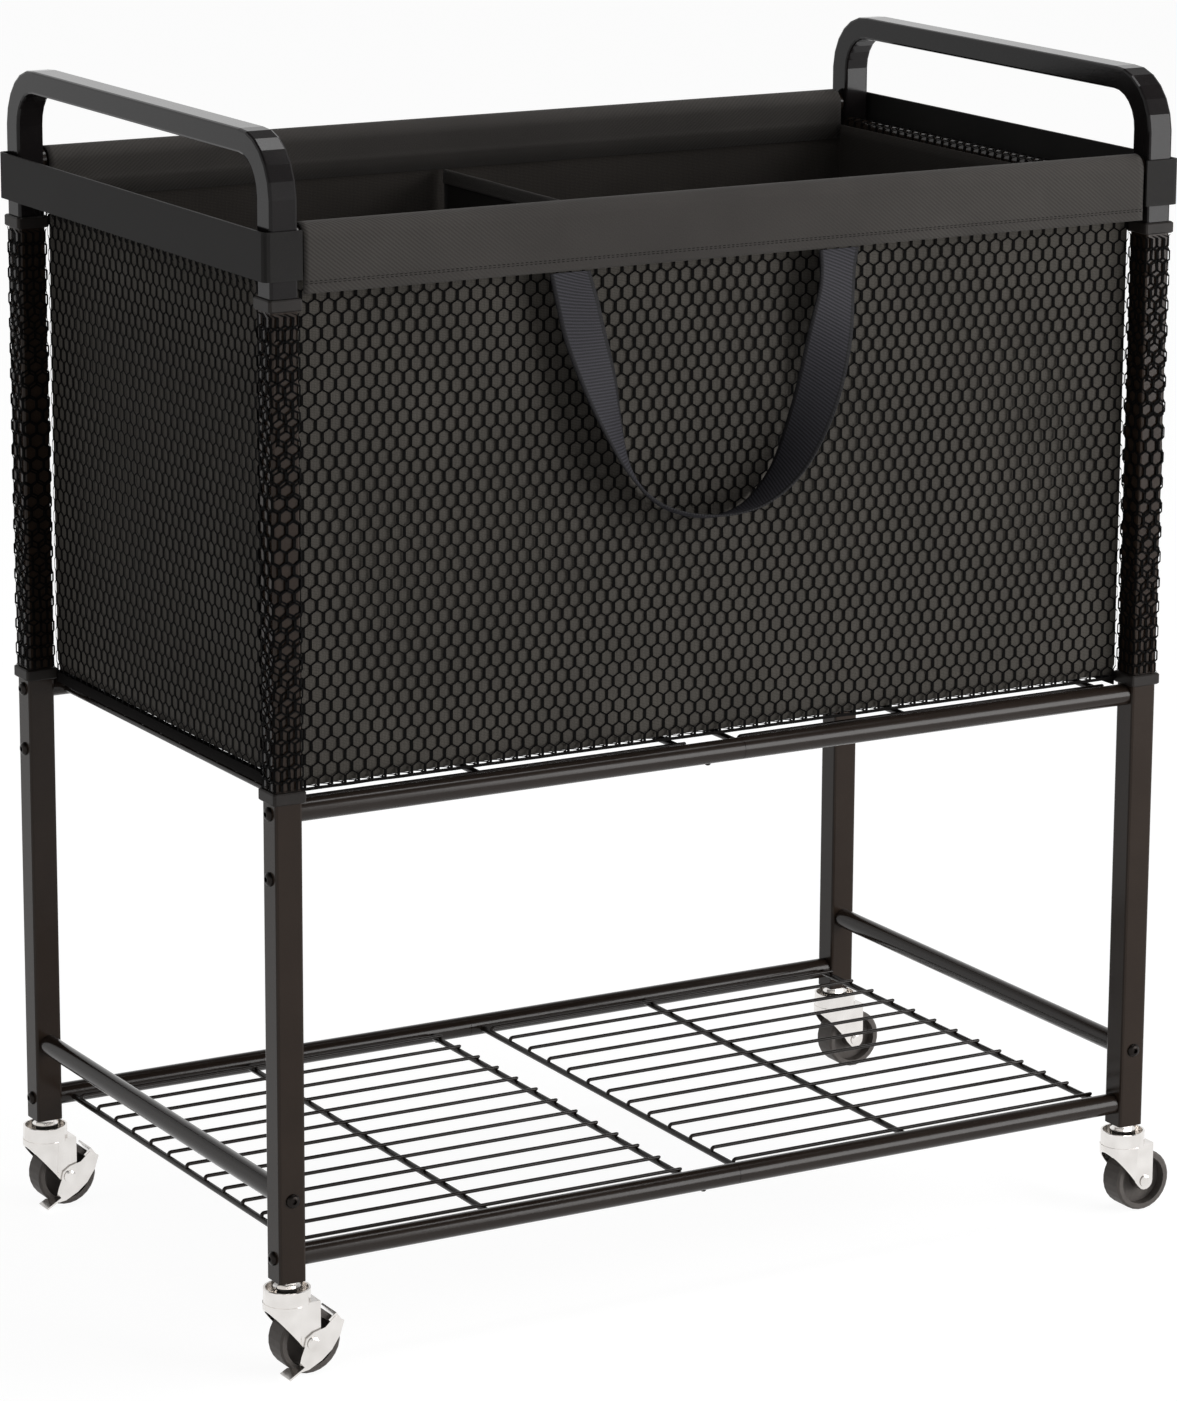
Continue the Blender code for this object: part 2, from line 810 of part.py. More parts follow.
def skirt_ring(height, flank):
    """A level section of a fork's skirt: two side plates joined round the front."""
    plate_y = fork_inner_half + fork_sheet / 2
    radius = fork_cup_radius + fork_skirt_step - fork_sheet / 2
    rear_x = caster_trail + fork_foot_radius
    shoulder = math.degrees(math.acos(fork_neck / 2 / radius))
    path = [(rear_x, -plate_y), (fork_neck, -plate_y)]
    for x, y in arc(0, 0, radius, -shoulder, shoulder - 360, 2 * arc_steps):
        path.append((x, y * flank / radius))
    path.extend([(fork_neck, plate_y), (rear_x, plate_y)])
    return [Vector((x, y, height)) for x, y in thick_path(path, fork_sheet)]


def fork_mesh():
    """Stamped fork: a round cup over a skirt that narrows to two side plates.
    Its origin is on the swivel axis, at the top of the crown."""
    axle_z = wheel_radius - crown_top
    crown_bottom = -fork_sheet
    cup_wall = fork_cup_radius - fork_sheet
    pin_hole = kingpin_diameter / 2 + fit_gap
    cup = turned(
        "cup",
        [
            (pin_hole, 0),
            (cup_wall, 0),
            (cup_wall, fork_cup_height - fork_sheet),
            (fork_cup_radius, fork_cup_height - fork_sheet),
            (fork_cup_radius, crown_bottom),
            (pin_hole, crown_bottom),
        ],
        turned_steps,
        closed=True,
    )
    rear_x = caster_trail + fork_foot_radius
    skirt_radius = fork_cup_radius + fork_skirt_step - fork_sheet / 2
    skirt_top = crown_bottom + fork_sheet / 2
    foot_low = axle_z - fork_foot_radius
    narrow = fork_inner_half + fork_sheet / 2 + fork_flank_bulge
    skirt = skinned(
        "skirt",
        [skirt_ring(skirt_top, skirt_radius), skirt_ring(foot_low - cut_overrun, narrow)],
        hollow=False,
    )
    rake_start = (-fork_cup_radius - cut_overrun, crown_bottom - fork_front_drop)
    foot = arc(caster_trail, axle_z, fork_foot_radius, 0, -145, arc_steps)
    side = [(rear_x, cut_overrun)] + foot + [rake_start, (rake_start[0], cut_overrun)]
    mask = flat_piece("mask", [side], -fork_cup_radius * 2, fork_cup_radius * 2, UPRIGHT_FRONT)
    skirt = combined(skirt, [mask], "INTERSECT")
    rear_plate = box(
        "rear_plate",
        (fork_neck, -fork_outer_half, crown_bottom),
        (rear_x, fork_outer_half, 0),
    )
    body = combined(cup, [skirt, rear_plate], "UNION")
    hole_radius = axle_diameter / 2 + fit_gap
    holes = cylinder(
        "holes", hole_radius, -fork_cup_radius * 2, fork_cup_radius * 2, AXIS_Y, turned_steps,
        (caster_trail, 0, axle_z))
    return combined(body, [holes], "DIFFERENCE")


def wheel_mesh():
    """Wheel with a raised rim, a web and a hub, turned about its axle."""
    half = wheel_width / 2
    rim_inner = wheel_radius - wheel_rim
    bore = axle_diameter / 2 + fit_gap
    half_profile = [
        (bore, half),
        (wheel_hub_radius, half),
        (wheel_hub_radius, wheel_web / 2),
        (rim_inner, wheel_web / 2),
        (rim_inner, half),
        (wheel_radius - wheel_edge, half),
        (wheel_corner_radius, half - wheel_edge),
    ]
    lower = [(radius, -height) for radius, height in reversed(half_profile)]
    mesh = turned("wheel", half_profile + lower, wheel_steps, closed=True)
    half_step = Matrix.Rotation(math.pi / wheel_steps, 4, "Z")
    lay = Matrix.Rotation(math.radians(90), 4, "X")
    mesh.transform(lay @ half_step)
    return mesh


def axle_mesh(front_stack):
    """Rivet through the fork; the front stack is what lies between fork and front head."""
    rear = fork_outer_half + fit_gap
    front = -(fork_outer_half + fit_gap + front_stack)
    profile = [
        (0, front - axle_head_height),
        (axle_head_radius * 0.7, front - axle_head_height),
        (axle_head_radius, front - axle_head_height / 2),
        (axle_head_radius, front),
        (axle_diameter / 2, front),
        (axle_diameter / 2, rear),
        (axle_head_radius, rear),
        (axle_head_radius, rear + axle_head_height / 2),
        (axle_head_radius * 0.7, rear + axle_head_height),
        (0, rear + axle_head_height),
    ]
    mesh = turned("axle", profile, rivet_steps, closed=False)
    mesh.transform(Matrix.Rotation(math.radians(-90), 4, "X"))
    return mesh


def lever_mesh():
    """Toe brake: a side plate outside the fork, a toothed tab over the tread and a pedal.
    Its origin is on the axle."""
    face = -(fork_outer_half + fit_gap)
    outline = [(x * lever_reach, z * lever_reach) for x, z in lever_outline_shares]
    plate = flat_piece("plate", [outline], face - lever_sheet, face, UPRIGHT_FRONT)
    tab_radius = wheel_corner_radius + lever_tread_gap
    tab_angle = math.radians(lever_tab_degrees)
    radial = Vector((math.cos(tab_angle), 0, math.sin(tab_angle)))
    skin = face - lever_sheet + weld_sink
    under = face - weld_sink
    tab_outline = [
        (tab_radius - lever_hub_radius, skin),
        (tab_radius + lever_sheet, skin),
        (tab_radius + lever_sheet, face + wheel_width),
        (tab_radius, face + wheel_width),
        (tab_radius, under),
        (tab_radius - lever_hub_radius, under),
    ]
    tab_axes = (radial, AXIS_Y, radial.cross(AXIS_Y))
    tab = flat_piece("tab", [tab_outline], -lever_tab_length / 2, lever_tab_length / 2, tab_axes)
    root_x, root_z = pedal_root_shares
    slope = math.radians(lever_slope_degrees)
    downhill = Vector((-math.cos(slope), 0, -math.sin(slope)))
    pedal_axes = (downhill, AXIS_Y, downhill.cross(AXIS_Y))
    pedal_outline = [(x * lever_reach, y * lever_reach) for x, y in pedal_outline_shares]
    pedal = flat_piece("pedal", [pedal_outline], 0, lever_sheet, pedal_axes)
    pedal.transform(Matrix.Translation((root_x * lever_reach, face, root_z * lever_reach)))
    body = combined(plate, [tab, pedal], "UNION")
    hole_radius = axle_diameter / 2 + fit_gap
    hole = cylinder("hole", hole_radius, -fork_cup_radius * 2, fork_cup_radius * 2, AXIS_Y, turned_steps)
    return combined(body, [hole], "DIFFERENCE")


# Assembly

frame = empty("hamper_frame", (frame_shift, 0, 0))
leg_mesh = lower_leg_mesh()
post_mesh = upper_post_mesh()
ring_mesh = collar_mesh()
net_sleeve_mesh = sleeve_mesh()
caster_stem_mesh = stem_mesh()
caster_fork_mesh = fork_mesh()
caster_wheel_mesh = wheel_mesh()
plain_axle_mesh = axle_mesh(0)
braked_axle_mesh = axle_mesh(lever_sheet + fit_gap)
brake_mesh = lever_mesh()

for corner, (hand_x, hand_y) in corners.items():
    stand = empty(f"corner_{corner}", (hand_x * half_x, hand_y * half_y, 0), frame)
    base = caster_height
    place(f"lower_leg_{corner}", leg_mesh, "powder_coated_tube", (0, 0, base), stand)
    place(f"upper_post_{corner}", post_mesh, "powder_coated_tube", (0, 0, base + upper_post_base), stand)
    place(f"lower_collar_{corner}", ring_mesh, "black_plastic", (0, 0, base + leg_length + fit_gap), stand)
    place(f"upper_collar_{corner}", ring_mesh, "black_plastic", (0, 0, base + upper_collar_base), stand)
    sleeve_base = base + upper_post_base + fit_gap
    place(f"mesh_sleeve_{corner}", net_sleeve_mesh, "net_polyester", (0, 0, sleeve_base), stand)
    place(f"caster_stem_{corner}", caster_stem_mesh, "bright_plated_steel", (0, 0, base), stand)
    fork = place(f"caster_fork_{corner}", caster_fork_mesh, "bright_plated_steel", (0, 0, crown_top), stand)
    hub = (caster_trail, 0, wheel_radius - crown_top)
    place(f"caster_wheel_{corner}", caster_wheel_mesh, "wheel_rubber", hub, fork)
    braked = hand_x < 0
    rivet = braked_axle_mesh if braked else plain_axle_mesh
    place(f"caster_axle_{corner}", rivet, "bright_plated_steel", hub, fork)
    if braked:
        place(f"brake_lever_{corner}", brake_mesh, "bright_plated_steel", hub, fork)

handle_shape = handle_mesh()
side_rail_length = inner_y - fit_gap
side_rail_shape = tube_mesh(
    "side_rail", rail_diameter, rail_wall, -side_rail_length, side_rail_length, AXIS_Y)
end_rod_shape = cylinder(
    "end_rod", end_rod_diameter / 2, -side_rail_length, side_rail_length, AXIS_Y, rail_sides)
for side_name, hand in (("left", -1), ("right", 1)):
    x = hand * half_x
    place(f"push_handle_{side_name}", handle_shape, "powder_coated_tube",
          (x, 0, caster_height + handle_base), frame)
    place(f"end_band_{side_name}", band_mesh(hand), "powder_coated_tube",
          (0, 0, caster_height + band_base), frame)
    place(f"side_rail_{side_name}", side_rail_shape, "powder_coated_tube",
          (x, 0, caster_height + side_rail_height), frame)
    rod_x = hand * (half_x - end_rod_inset)
    place(f"end_rod_{side_name}", end_rod_shape, "powder_coated_tube",
          (rod_x, 0, caster_height + end_rod_height), frame)
    rack_shape = rack_half_mesh(hand)
    place(f"lower_rack_{side_name}", rack_shape, "powder_coated_wire",
          (0, 0, caster_height + lower_rack_height), frame)
    place(f"upper_rack_{side_name}", rack_shape, "powder_coated_wire",
          (0, 0, caster_height + upper_rack_height), frame)

top_rail_length = inner_x - fit_gap
top_rail_shape = tube_mesh(
    "top_rail", top_rail_diameter, rail_wall, -top_rail_length, top_rail_length, AXIS_X)
for side_name, hand in (("front", -1), ("rear", 1)):
    place(f"top_rail_{side_name}", top_rail_shape, "powder_coated_tube",
          (0, hand * half_y, caster_height + top_rail_height), frame)
    place(f"hem_{side_name}", hem_mesh(hand), "hem_canvas", (0, 0, caster_height), frame)
    place(f"strap_{side_name}", strap_mesh(hand), "strap_webbing",
          (strap_offset, hand * strap_plane, caster_height + strap_top_height), frame)

place("mesh_shell", net_shell_mesh(), "net_polyester", (0, 0, caster_height), frame)
liner_top = hem_crease_height - fit_gap
liner_mesh = open_box("liner", liner_half_x, liner_half_y, liner_floor_height, liner_top, liner_wall)
place("liner_bag", liner_mesh, "liner_oxford", (0, 0, caster_height), frame)
divider_depth = liner_half_y - liner_wall - fit_gap
divider_floor = liner_floor_height + liner_wall + fit_gap
divider_mesh = box(
    "divider",
    (-divider_wall / 2, -divider_depth, divider_floor),
    (divider_wall / 2, divider_depth, divider_top_height),
)
place("liner_divider", divider_mesh, "liner_oxford", (divider_offset, 0, caster_height), frame)
bpy.context.view_layer.update()
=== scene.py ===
# %% [markdown]
# # A rolling laundry hamper
#
# The hamper is a frame of square and round steel tube on four casters. A cloth bag hangs in it,
# inside a coarse net. The frame's solids are loaded first, and everything soft is then made anew,
# because cloth, netting and webbing need far finer shapes than a solid model has.

# %% Load the frame
import math

import bmesh
import bpy
from mathutils import Matrix, Vector, noise


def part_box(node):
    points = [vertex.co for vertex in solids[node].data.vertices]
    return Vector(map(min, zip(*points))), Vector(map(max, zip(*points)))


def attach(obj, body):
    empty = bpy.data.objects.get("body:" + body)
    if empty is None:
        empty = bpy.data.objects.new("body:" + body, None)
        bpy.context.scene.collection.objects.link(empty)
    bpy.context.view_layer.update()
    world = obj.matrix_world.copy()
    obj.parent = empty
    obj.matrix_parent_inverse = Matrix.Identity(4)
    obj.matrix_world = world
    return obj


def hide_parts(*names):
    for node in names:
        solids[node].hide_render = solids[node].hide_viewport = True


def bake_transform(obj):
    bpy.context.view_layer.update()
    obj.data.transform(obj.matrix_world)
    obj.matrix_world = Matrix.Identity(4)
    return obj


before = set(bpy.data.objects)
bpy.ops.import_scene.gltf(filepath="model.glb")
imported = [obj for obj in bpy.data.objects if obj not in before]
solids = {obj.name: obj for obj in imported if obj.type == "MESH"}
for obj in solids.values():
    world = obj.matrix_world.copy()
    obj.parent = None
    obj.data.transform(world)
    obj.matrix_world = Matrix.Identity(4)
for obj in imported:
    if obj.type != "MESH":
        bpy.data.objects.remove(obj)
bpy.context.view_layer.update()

# %% [markdown]
# ## Helpers for all materials
#
# A colour is written as it looks on a screen, in hex, and a shader works with linear light, so one
# function turns the one into the other. A second adds a node with its settings and links. A third
# starts a material and sets its shader's plain numbers. A fourth makes a soft cloud and a tint that
# goes from a dark to a pale colour with it. The last one links tint, bumps and roughness to the
# shader.
#
# A wave texture repeats after pi / 10 divided by its scale, so a thread spacing in metres gives
# the scale directly.

# %% Colour, node and material helpers
def colour(hex_code):
    """A screen colour such as 3a3836 as linear light."""
    values = [int(hex_code[i:i + 2], 16) / 255 for i in (0, 2, 4)]
    linear = [v / 12.92 if v <= 0.04045 else ((v + 0.055) / 1.055) ** 2.4 for v in values]
    return (*linear, 1.0)


def add_node(tree, kind, inputs=None, **settings):
    """Add a node. A value in inputs is either a number or another node's output."""
    made = tree.nodes.new(kind)
    for name, value in settings.items():
        setattr(made, name, value)
    for key, value in (inputs or {}).items():
        if isinstance(value, bpy.types.NodeSocket):
            tree.links.new(value, made.inputs[key])
        else:
            made.inputs[key].default_value = value
    return made


def start_material(name, roughness, specular=0.5, metallic=0.0, ior=1.5):
    """A new material and its node tree, with the plain numbers of its shader set."""
    made = bpy.data.materials.new(name)
    made.use_nodes = True
    shader = made.node_tree.nodes["Principled BSDF"]
    shader.inputs["Roughness"].default_value = roughness
    shader.inputs["Specular IOR Level"].default_value = specular
    shader.inputs["Metallic"].default_value = metallic
    shader.inputs["IOR"].default_value = ior
    return made, made.node_tree


def clouded(tree, place, scale, detail, dark, pale):
    """A soft cloud from 0 to 1, and the tint between two colours that goes with it."""
    cloud = add_node(tree, "ShaderNodeTexNoise", {"Vector": place, "Scale": scale, "Detail": detail})
    tint = add_node(tree, "ShaderNodeMix", {
        "Factor": cloud.outputs["Fac"], "A": colour(dark), "B": colour(pale)}, data_type="RGBA")
    return cloud.outputs["Fac"], tint.outputs["Result"]


def finish_material(tree, tint, height, strength, depth, rough=None):
    """Link the tint, the bumps, whose depth is in metres, and a roughness that varies."""
    shader = tree.nodes["Principled BSDF"]
    bump = add_node(tree, "ShaderNodeBump", {"Height": height, "Strength": strength, "Distance": depth})
    tree.links.new(tint, shader.inputs["Base Color"])
    tree.links.new(bump.outputs["Normal"], shader.inputs["Normal"])
    if rough is not None:
        tree.links.new(rough, shader.inputs["Roughness"])


def wave_scale(spacing):
    """The wave texture's scale for a repeat of this many metres."""
    return math.pi / 10 / spacing


print("one grey:", [round(v, 4) for v in colour("808080")])

# %% [markdown]
# ## Powder coat on the steel tube
#
# Powder coat is plastic dust that is melted onto steel. It comes out satin, with a faint orange
# peel: soft dimples one to two millimetres apart. The eye sees it where a highlight breaks up, so
# the dimples go into the bump and the haze goes into the roughness. A few paler specks are dust
# under the coat. The handles are the glossiest, and the flat bands at the ends are nearly matt.

# %% Powder-coated steel
def powder_coat(name, dark, pale, roughness, gloss):
    made, tree = start_material(name, roughness, gloss, ior=1.45)
    place = add_node(tree, "ShaderNodeTexCoord").outputs["Object"]
    peel = add_node(tree, "ShaderNodeTexNoise", {"Vector": place, "Scale": 620.0, "Detail": 2.0})
    specks = add_node(tree, "ShaderNodeTexNoise", {"Vector": place, "Scale": 1900.0, "Detail": 1.0})
    haze, tint = clouded(tree, place, 24.0, 4.0, dark, pale)
    flecked = add_node(tree, "ShaderNodeMapRange", {
        "Value": specks.outputs["Fac"], "From Min": 0.62, "From Max": 0.75, "To Max": 0.12})
    final = add_node(tree, "ShaderNodeMix", {
        "Factor": flecked.outputs["Result"], "A": tint, "B": colour("6a655f")}, data_type="RGBA")
    rough = add_node(tree, "ShaderNodeMapRange", {
        "Value": haze, "To Min": roughness - 0.03, "To Max": roughness + 0.06})
    finish_material(tree, final.outputs["Result"], peel.outputs["Fac"], 0.10, 0.0002,
                    rough.outputs["Result"])
    return made


tube_coat = powder_coat("powder_coated_steel_tube", "29201a", "332922", 0.19, 0.18)
handle_coat = powder_coat("powder_coated_handle_tube", "161415", "1f1c1c", 0.11, 0.20)
rail_coat = powder_coat("powder_coated_round_rail", "211a16", "2b231e", 0.17, 0.30)
wire_coat = powder_coat("powder_coated_steel_wire", "1a1512", "241d19", 0.26, 0.25)
band_coat = powder_coat("powder_coated_steel_strip", "252424", "2e2d2c", 0.48, 0.06)
print("finishes so far:", [m.name for m in (tube_coat, handle_coat, rail_coat, wire_coat, band_coat)])

# %% [markdown]
# ## Moulded nylon
#
# The collars between the tubes are moulded black nylon. It is duller than the coat and has the
# fine, even grain of a spark-eroded mould, about a third of a millimetre across.

# %% Moulded nylon
def moulded_plastic(name, dark, pale, roughness):
    made, tree = start_material(name, roughness, 0.2, ior=1.45)
    place = add_node(tree, "ShaderNodeTexCoord").outputs["Object"]
    grain = add_node(tree, "ShaderNodeTexVoronoi", {"Vector": place, "Scale": 2600.0})
    tint = clouded(tree, place, 90.0, 3.0, dark, pale)[1]
    finish_material(tree, tint, grain.outputs["Distance"], 0.25, 0.0001)
    return made


collar_nylon = moulded_plastic("moulded_black_nylon", "1b1816", "2b2725", 0.48)
print("finish:", collar_nylon.name)

# %% [markdown]
# ## Bright plated steel, black oxide and rubber
#
# The caster forks and brake levers are pressed steel with a bright nickel plate, which mirrors the
# room. Pressing leaves long faint ripples, and tumbling leaves hair-fine scratches. The bolts have
# a black oxide finish, an oiled dark grey metal. The wheels have a tyre of dull grey rubber with a
# slightly dusty tread, and inside the rim they are painted near black as painted shade from the fork.
# The tyre begins at the rim's radius, so the distance from the axle tells the one from the other.

# %% Nickel, black oxide and rubber
def plated_steel(name, bright, dull, roughness):
    made, tree = start_material(name, roughness, metallic=1.0)
    place = add_node(tree, "ShaderNodeTexCoord").outputs["Object"]
    hair = add_node(tree, "ShaderNodeTexNoise", {"Vector": place, "Scale": 2400.0, "Detail": 3.0})
    ripple, tint = clouded(tree, place, 70.0, 1.0, bright, dull)
    rough = add_node(tree, "ShaderNodeMapRange", {
        "Value": hair.outputs["Fac"], "To Min": roughness - 0.06, "To Max": roughness + 0.12})
    finish_material(tree, tint, ripple, 0.3, 0.0008, rough.outputs["Result"])
    return made


def tyre_rubber(name, hub_painted_shade, tread, dusty, rim_radius):
    """A near-black hub, which is painted shade from the fork, and outside the rim's radius a grey tread;
    the axle runs along Y.
    """
    made, tree = start_material(name, 0.6, 0.3)
    place = add_node(tree, "ShaderNodeTexCoord").outputs["Object"]
    pits = add_node(tree, "ShaderNodeTexNoise", {"Vector": place, "Scale": 1500.0, "Detail": 2.0})
    tint = clouded(tree, place, 160.0, 5.0, tread, dusty)[1]
    from_axle = add_node(tree, "ShaderNodeVectorMath", {0: place, 1: (1, 0, 1)}, operation="MULTIPLY")
    off_axle = add_node(tree, "ShaderNodeVectorMath", {0: from_axle.outputs[0]}, operation="LENGTH")
    outside = add_node(tree, "ShaderNodeMapRange", {
        "Value": off_axle.outputs["Value"], "From Min": rim_radius, "From Max": rim_radius + 0.0004})
    final = add_node(tree, "ShaderNodeMix", {
        "Factor": outside.outputs["Result"], "A": colour(hub_painted_shade), "B": tint}, data_type="RGBA")
    finish_material(tree, final.outputs["Result"], pits.outputs["Fac"], 0.35, 0.0002)
    return made


bright_nickel = plated_steel("bright_nickel_plate", "f1eeeb", "d5d1cd", 0.13)
black_oxide = plated_steel("black_oxide_steel", "1f1c1b", "2c2927", 0.34)
# Inside the rim the wheel is painted near black, which is painted shade from the fork.
wheel_rubber = tyre_rubber("grey_rubber_tyre", "100f0e", "4a4643", "625c58", 0.0198)
print("finishes:", bright_nickel.name, black_oxide.name, wheel_rubber.name)

# %% [markdown]
# ## Cloth finishes
#
# Four textiles meet here. The net is knitted polyester cord, almost black. The liner is oxford, a
# plain weave of thick polyester yarns with a soft, uneven look. The hems are canvas with a fine
# diagonal twill. Only one set of its ribs shows, so the other set is drawn half a metre apart, too
# far to be seen. The straps are polypropylene webbing, ribbed across, with a bluish cast.
# Real yarns are about half a millimetre apart, which is finer than a picture can show, so the
# weaves are drawn at one to two and a half millimetres. Their pieces carry a UV map in metres, so
# the weave follows the cloth. The liner's inner side has a darker copy of the oxford with flatter
# bumps and less shine, and the divider a still darker one; their darker colours are painted shade.

# %% Netting, oxford, twill canvas and webbing
def knitted_cord(name, dark, pale):
    made, tree = start_material(name, 0.9, 0.08)
    place = add_node(tree, "ShaderNodeTexCoord").outputs["Object"]
    fibre, tint = clouded(tree, place, 1300.0, 3.0, dark, pale)
    finish_material(tree, tint, fibre, 0.5, 0.0003)
    return made


def woven_cloth(name, dark, pale, across, along, slant=0.0, strength=0.5, specular=0.3):
    """Two sets of yarns on the UV map; slant turns the pattern for a twill."""
    made, tree = start_material(name, 0.85, specular)
    flat = add_node(tree, "ShaderNodeUVMap", uv_map="cloth").outputs["UV"]
    turned = add_node(tree, "ShaderNodeMapping", {"Vector": flat, "Rotation": (0, 0, slant)})
    yarn = add_node(tree, "ShaderNodeTexNoise", {"Vector": flat, "Scale": 900.0, "Detail": 3.0})
    cloud = add_node(tree, "ShaderNodeTexNoise", {"Vector": flat, "Scale": 14.0, "Detail": 4.0})
    warp, weft = [add_node(tree, "ShaderNodeTexWave", {
        "Vector": turned.outputs["Vector"], "Scale": wave_scale(spacing), "Distortion": 0.6,
        "Detail": 1.0}, bands_direction=way) for spacing, way in ((across, "X"), (along, "Y"))]
    weave = add_node(tree, "ShaderNodeMath", {
        0: warp.outputs["Fac"], 1: weft.outputs["Fac"]}, operation="MULTIPLY")
    mottled = add_node(tree, "ShaderNodeMath", {
        0: weave.outputs[0], 1: yarn.outputs["Fac"]}, operation="ADD")
    share = add_node(tree, "ShaderNodeMapRange", {
        "Value": mottled.outputs[0], "From Min": 0.3, "From Max": 1.3})
    tint = add_node(tree, "ShaderNodeMix", {
        "Factor": share.outputs["Result"], "A": colour(dark), "B": colour(pale)}, data_type="RGBA")
    worn = add_node(tree, "ShaderNodeMapRange", {
        "Value": cloud.outputs["Fac"], "From Min": 0.3, "From Max": 0.7, "To Min": 0.88, "To Max": 1.1})
    final = add_node(tree, "ShaderNodeVectorMath", {
        0: tint.outputs["Result"], "Scale": worn.outputs["Result"]}, operation="SCALE")
    shader = tree.nodes["Principled BSDF"]
    shader.inputs["Sheen Weight"].default_value = 0.06
    shader.inputs["Sheen Roughness"].default_value = 0.4
    finish_material(tree, final.outputs["Vector"], mottled.outputs[0], strength, 0.0004)
    return made


def ribbed_webbing(name, dark, pale, rib, wide, lean, selvage_wide):
    """Ribs across the strap that lean a little, and a smooth dark selvage along both edges."""
    made, tree = start_material(name, 0.7, 0.25)
    flat = add_node(tree, "ShaderNodeUVMap", uv_map="cloth").outputs["UV"]
    turned = add_node(tree, "ShaderNodeMapping", {"Vector": flat, "Rotation": (0, 0, math.radians(lean))})
    ribs = add_node(tree, "ShaderNodeTexWave", {
        "Vector": turned.outputs["Vector"], "Scale": wave_scale(rib), "Distortion": 0.4,
        "Detail": 1.0}, bands_direction="Y")
    yarn = add_node(tree, "ShaderNodeTexNoise", {"Vector": flat, "Scale": 1100.0, "Detail": 3.0})
    raised = add_node(tree, "ShaderNodeMath", {
        0: ribs.outputs["Fac"], 1: yarn.outputs["Fac"]}, operation="ADD")
    share = add_node(tree, "ShaderNodeMapRange", {
        "Value": raised.outputs[0], "From Min": 0.4, "From Max": 1.5})
    tint = add_node(tree, "ShaderNodeMix", {
        "Factor": share.outputs["Result"], "A": colour(dark), "B": colour(pale)}, data_type="RGBA")
    across = add_node(tree, "ShaderNodeSeparateXYZ", {"Vector": flat})
    off_middle = add_node(tree, "ShaderNodeMath", {0: across.outputs["X"]}, operation="ABSOLUTE")
    inner = wide / 2 - selvage_wide
    selvage = add_node(tree, "ShaderNodeMapRange", {
        "Value": off_middle.outputs[0], "From Min": inner - 0.0004, "From Max": inner + 0.0004})
    final = add_node(tree, "ShaderNodeMix", {
        "Factor": selvage.outputs["Result"], "A": tint.outputs["Result"], "B": colour(dark)},
        data_type="RGBA")
    finish_material(tree, final.outputs["Result"], raised.outputs[0], 0.6, 0.0004)
    return made


oxford_yarn = 0.0012
net_cord = knitted_cord("knitted_polyester_net", "030303", "0d0c0c")
liner_cloth = woven_cloth("polyester_oxford", "33302c", "534f49", oxford_yarn, oxford_yarn,
                          strength=0.35)
# The inner side's darker colours are painted shade for the inside of the bag.
painted_shade_lining = woven_cloth("oxford_inside_painted_shade", "262321", "403c38", oxford_yarn, oxford_yarn,
                           strength=0.2, specular=0.15)
# The divider's still darker colours are painted shade.
painted_shade_divider = woven_cloth("oxford_divider_painted_shade", "151413", "262321", oxford_yarn, oxford_yarn,
                            strength=0.2, specular=0.1)
hem_cloth = woven_cloth("twill_canvas", "34312f", "403d3a", 0.0024, 0.5, math.radians(52),
                        strength=0.35)
strap_cloth = ribbed_webbing("polypropylene_webbing", "131215", "36353b", 0.0024, 0.035, -20, 0.003)
stitch_thread = knitted_cord("bonded_nylon_thread", "0b0a0a", "1c1a19")
print("cloth finishes:", [m.name for m in (net_cord, liner_cloth, hem_cloth, strap_cloth)])

# %% [markdown]
# ## Finishes for the solids that stay
#
# Posts, legs, collars, handles, bands and casters already have their real shape. Their solids stay
# as they are and only get a finish, by the start of their names.

# %% Give the solids their finishes
finish_by_name = {
    "lower_leg": tube_coat,
    "upper_post": tube_coat,
    "push_handle": handle_coat,
    "end_band": band_coat,
    "side_rail": rail_coat,
    "top_rail": rail_coat,
    "end_rod": rail_coat,
    "lower_rack": wire_coat,
    "upper_rack": wire_coat,
    "lower_collar": collar_nylon,
    "upper_collar": collar_nylon,
    "caster_stem": bright_nickel,
    "caster_fork": bright_nickel,
    "caster_axle": bright_nickel,
    "brake_lever": bright_nickel,
    "caster_wheel": wheel_rubber,
}
dressed = 0
for node_name, solid in solids.items():
    for start, finish in finish_by_name.items():
        if node_name.startswith(start):
            for slot_of_solid in solid.material_slots:
                slot_of_solid.material = finish
            dressed += 1
print("solids with a finish:", dressed)

# %% [markdown]
# ## Helpers for new pieces
#
# A new piece is a mesh whose points are already where they belong, so its object stays at the
# origin. One helper puts an object into the scene, and a second fastens it to a body as a piece.
# Others make a mesh from points, list the faces of a grid, turn closed shapes the right way out,
# join meshes and give a sheet its thickness. The last three begin a tree of Geometry Nodes, end it,
# and keep what it makes as a plain mesh.

# %% Piece helpers
def put_in_scene(name, data):
    """A new object for a mesh, a lamp or a camera."""
    made = bpy.data.objects.new(name, data)
    bpy.context.scene.collection.objects.link(made)
    return made


def add_piece(name, mesh, finish, body="frame", smooth=40.0):
    """An object for a mesh whose points are in place. It rides on a body, if one is named."""
    if finish is not None:
        mesh.materials.append(finish)
    mesh.polygons.foreach_set("use_smooth", [smooth > 0] * len(mesh.polygons))
    if 0 < smooth < 180:
        mesh.set_sharp_from_angle(angle=math.radians(smooth))
    piece = put_in_scene(name, mesh)
    if body is not None:
        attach(piece, body)
    return piece


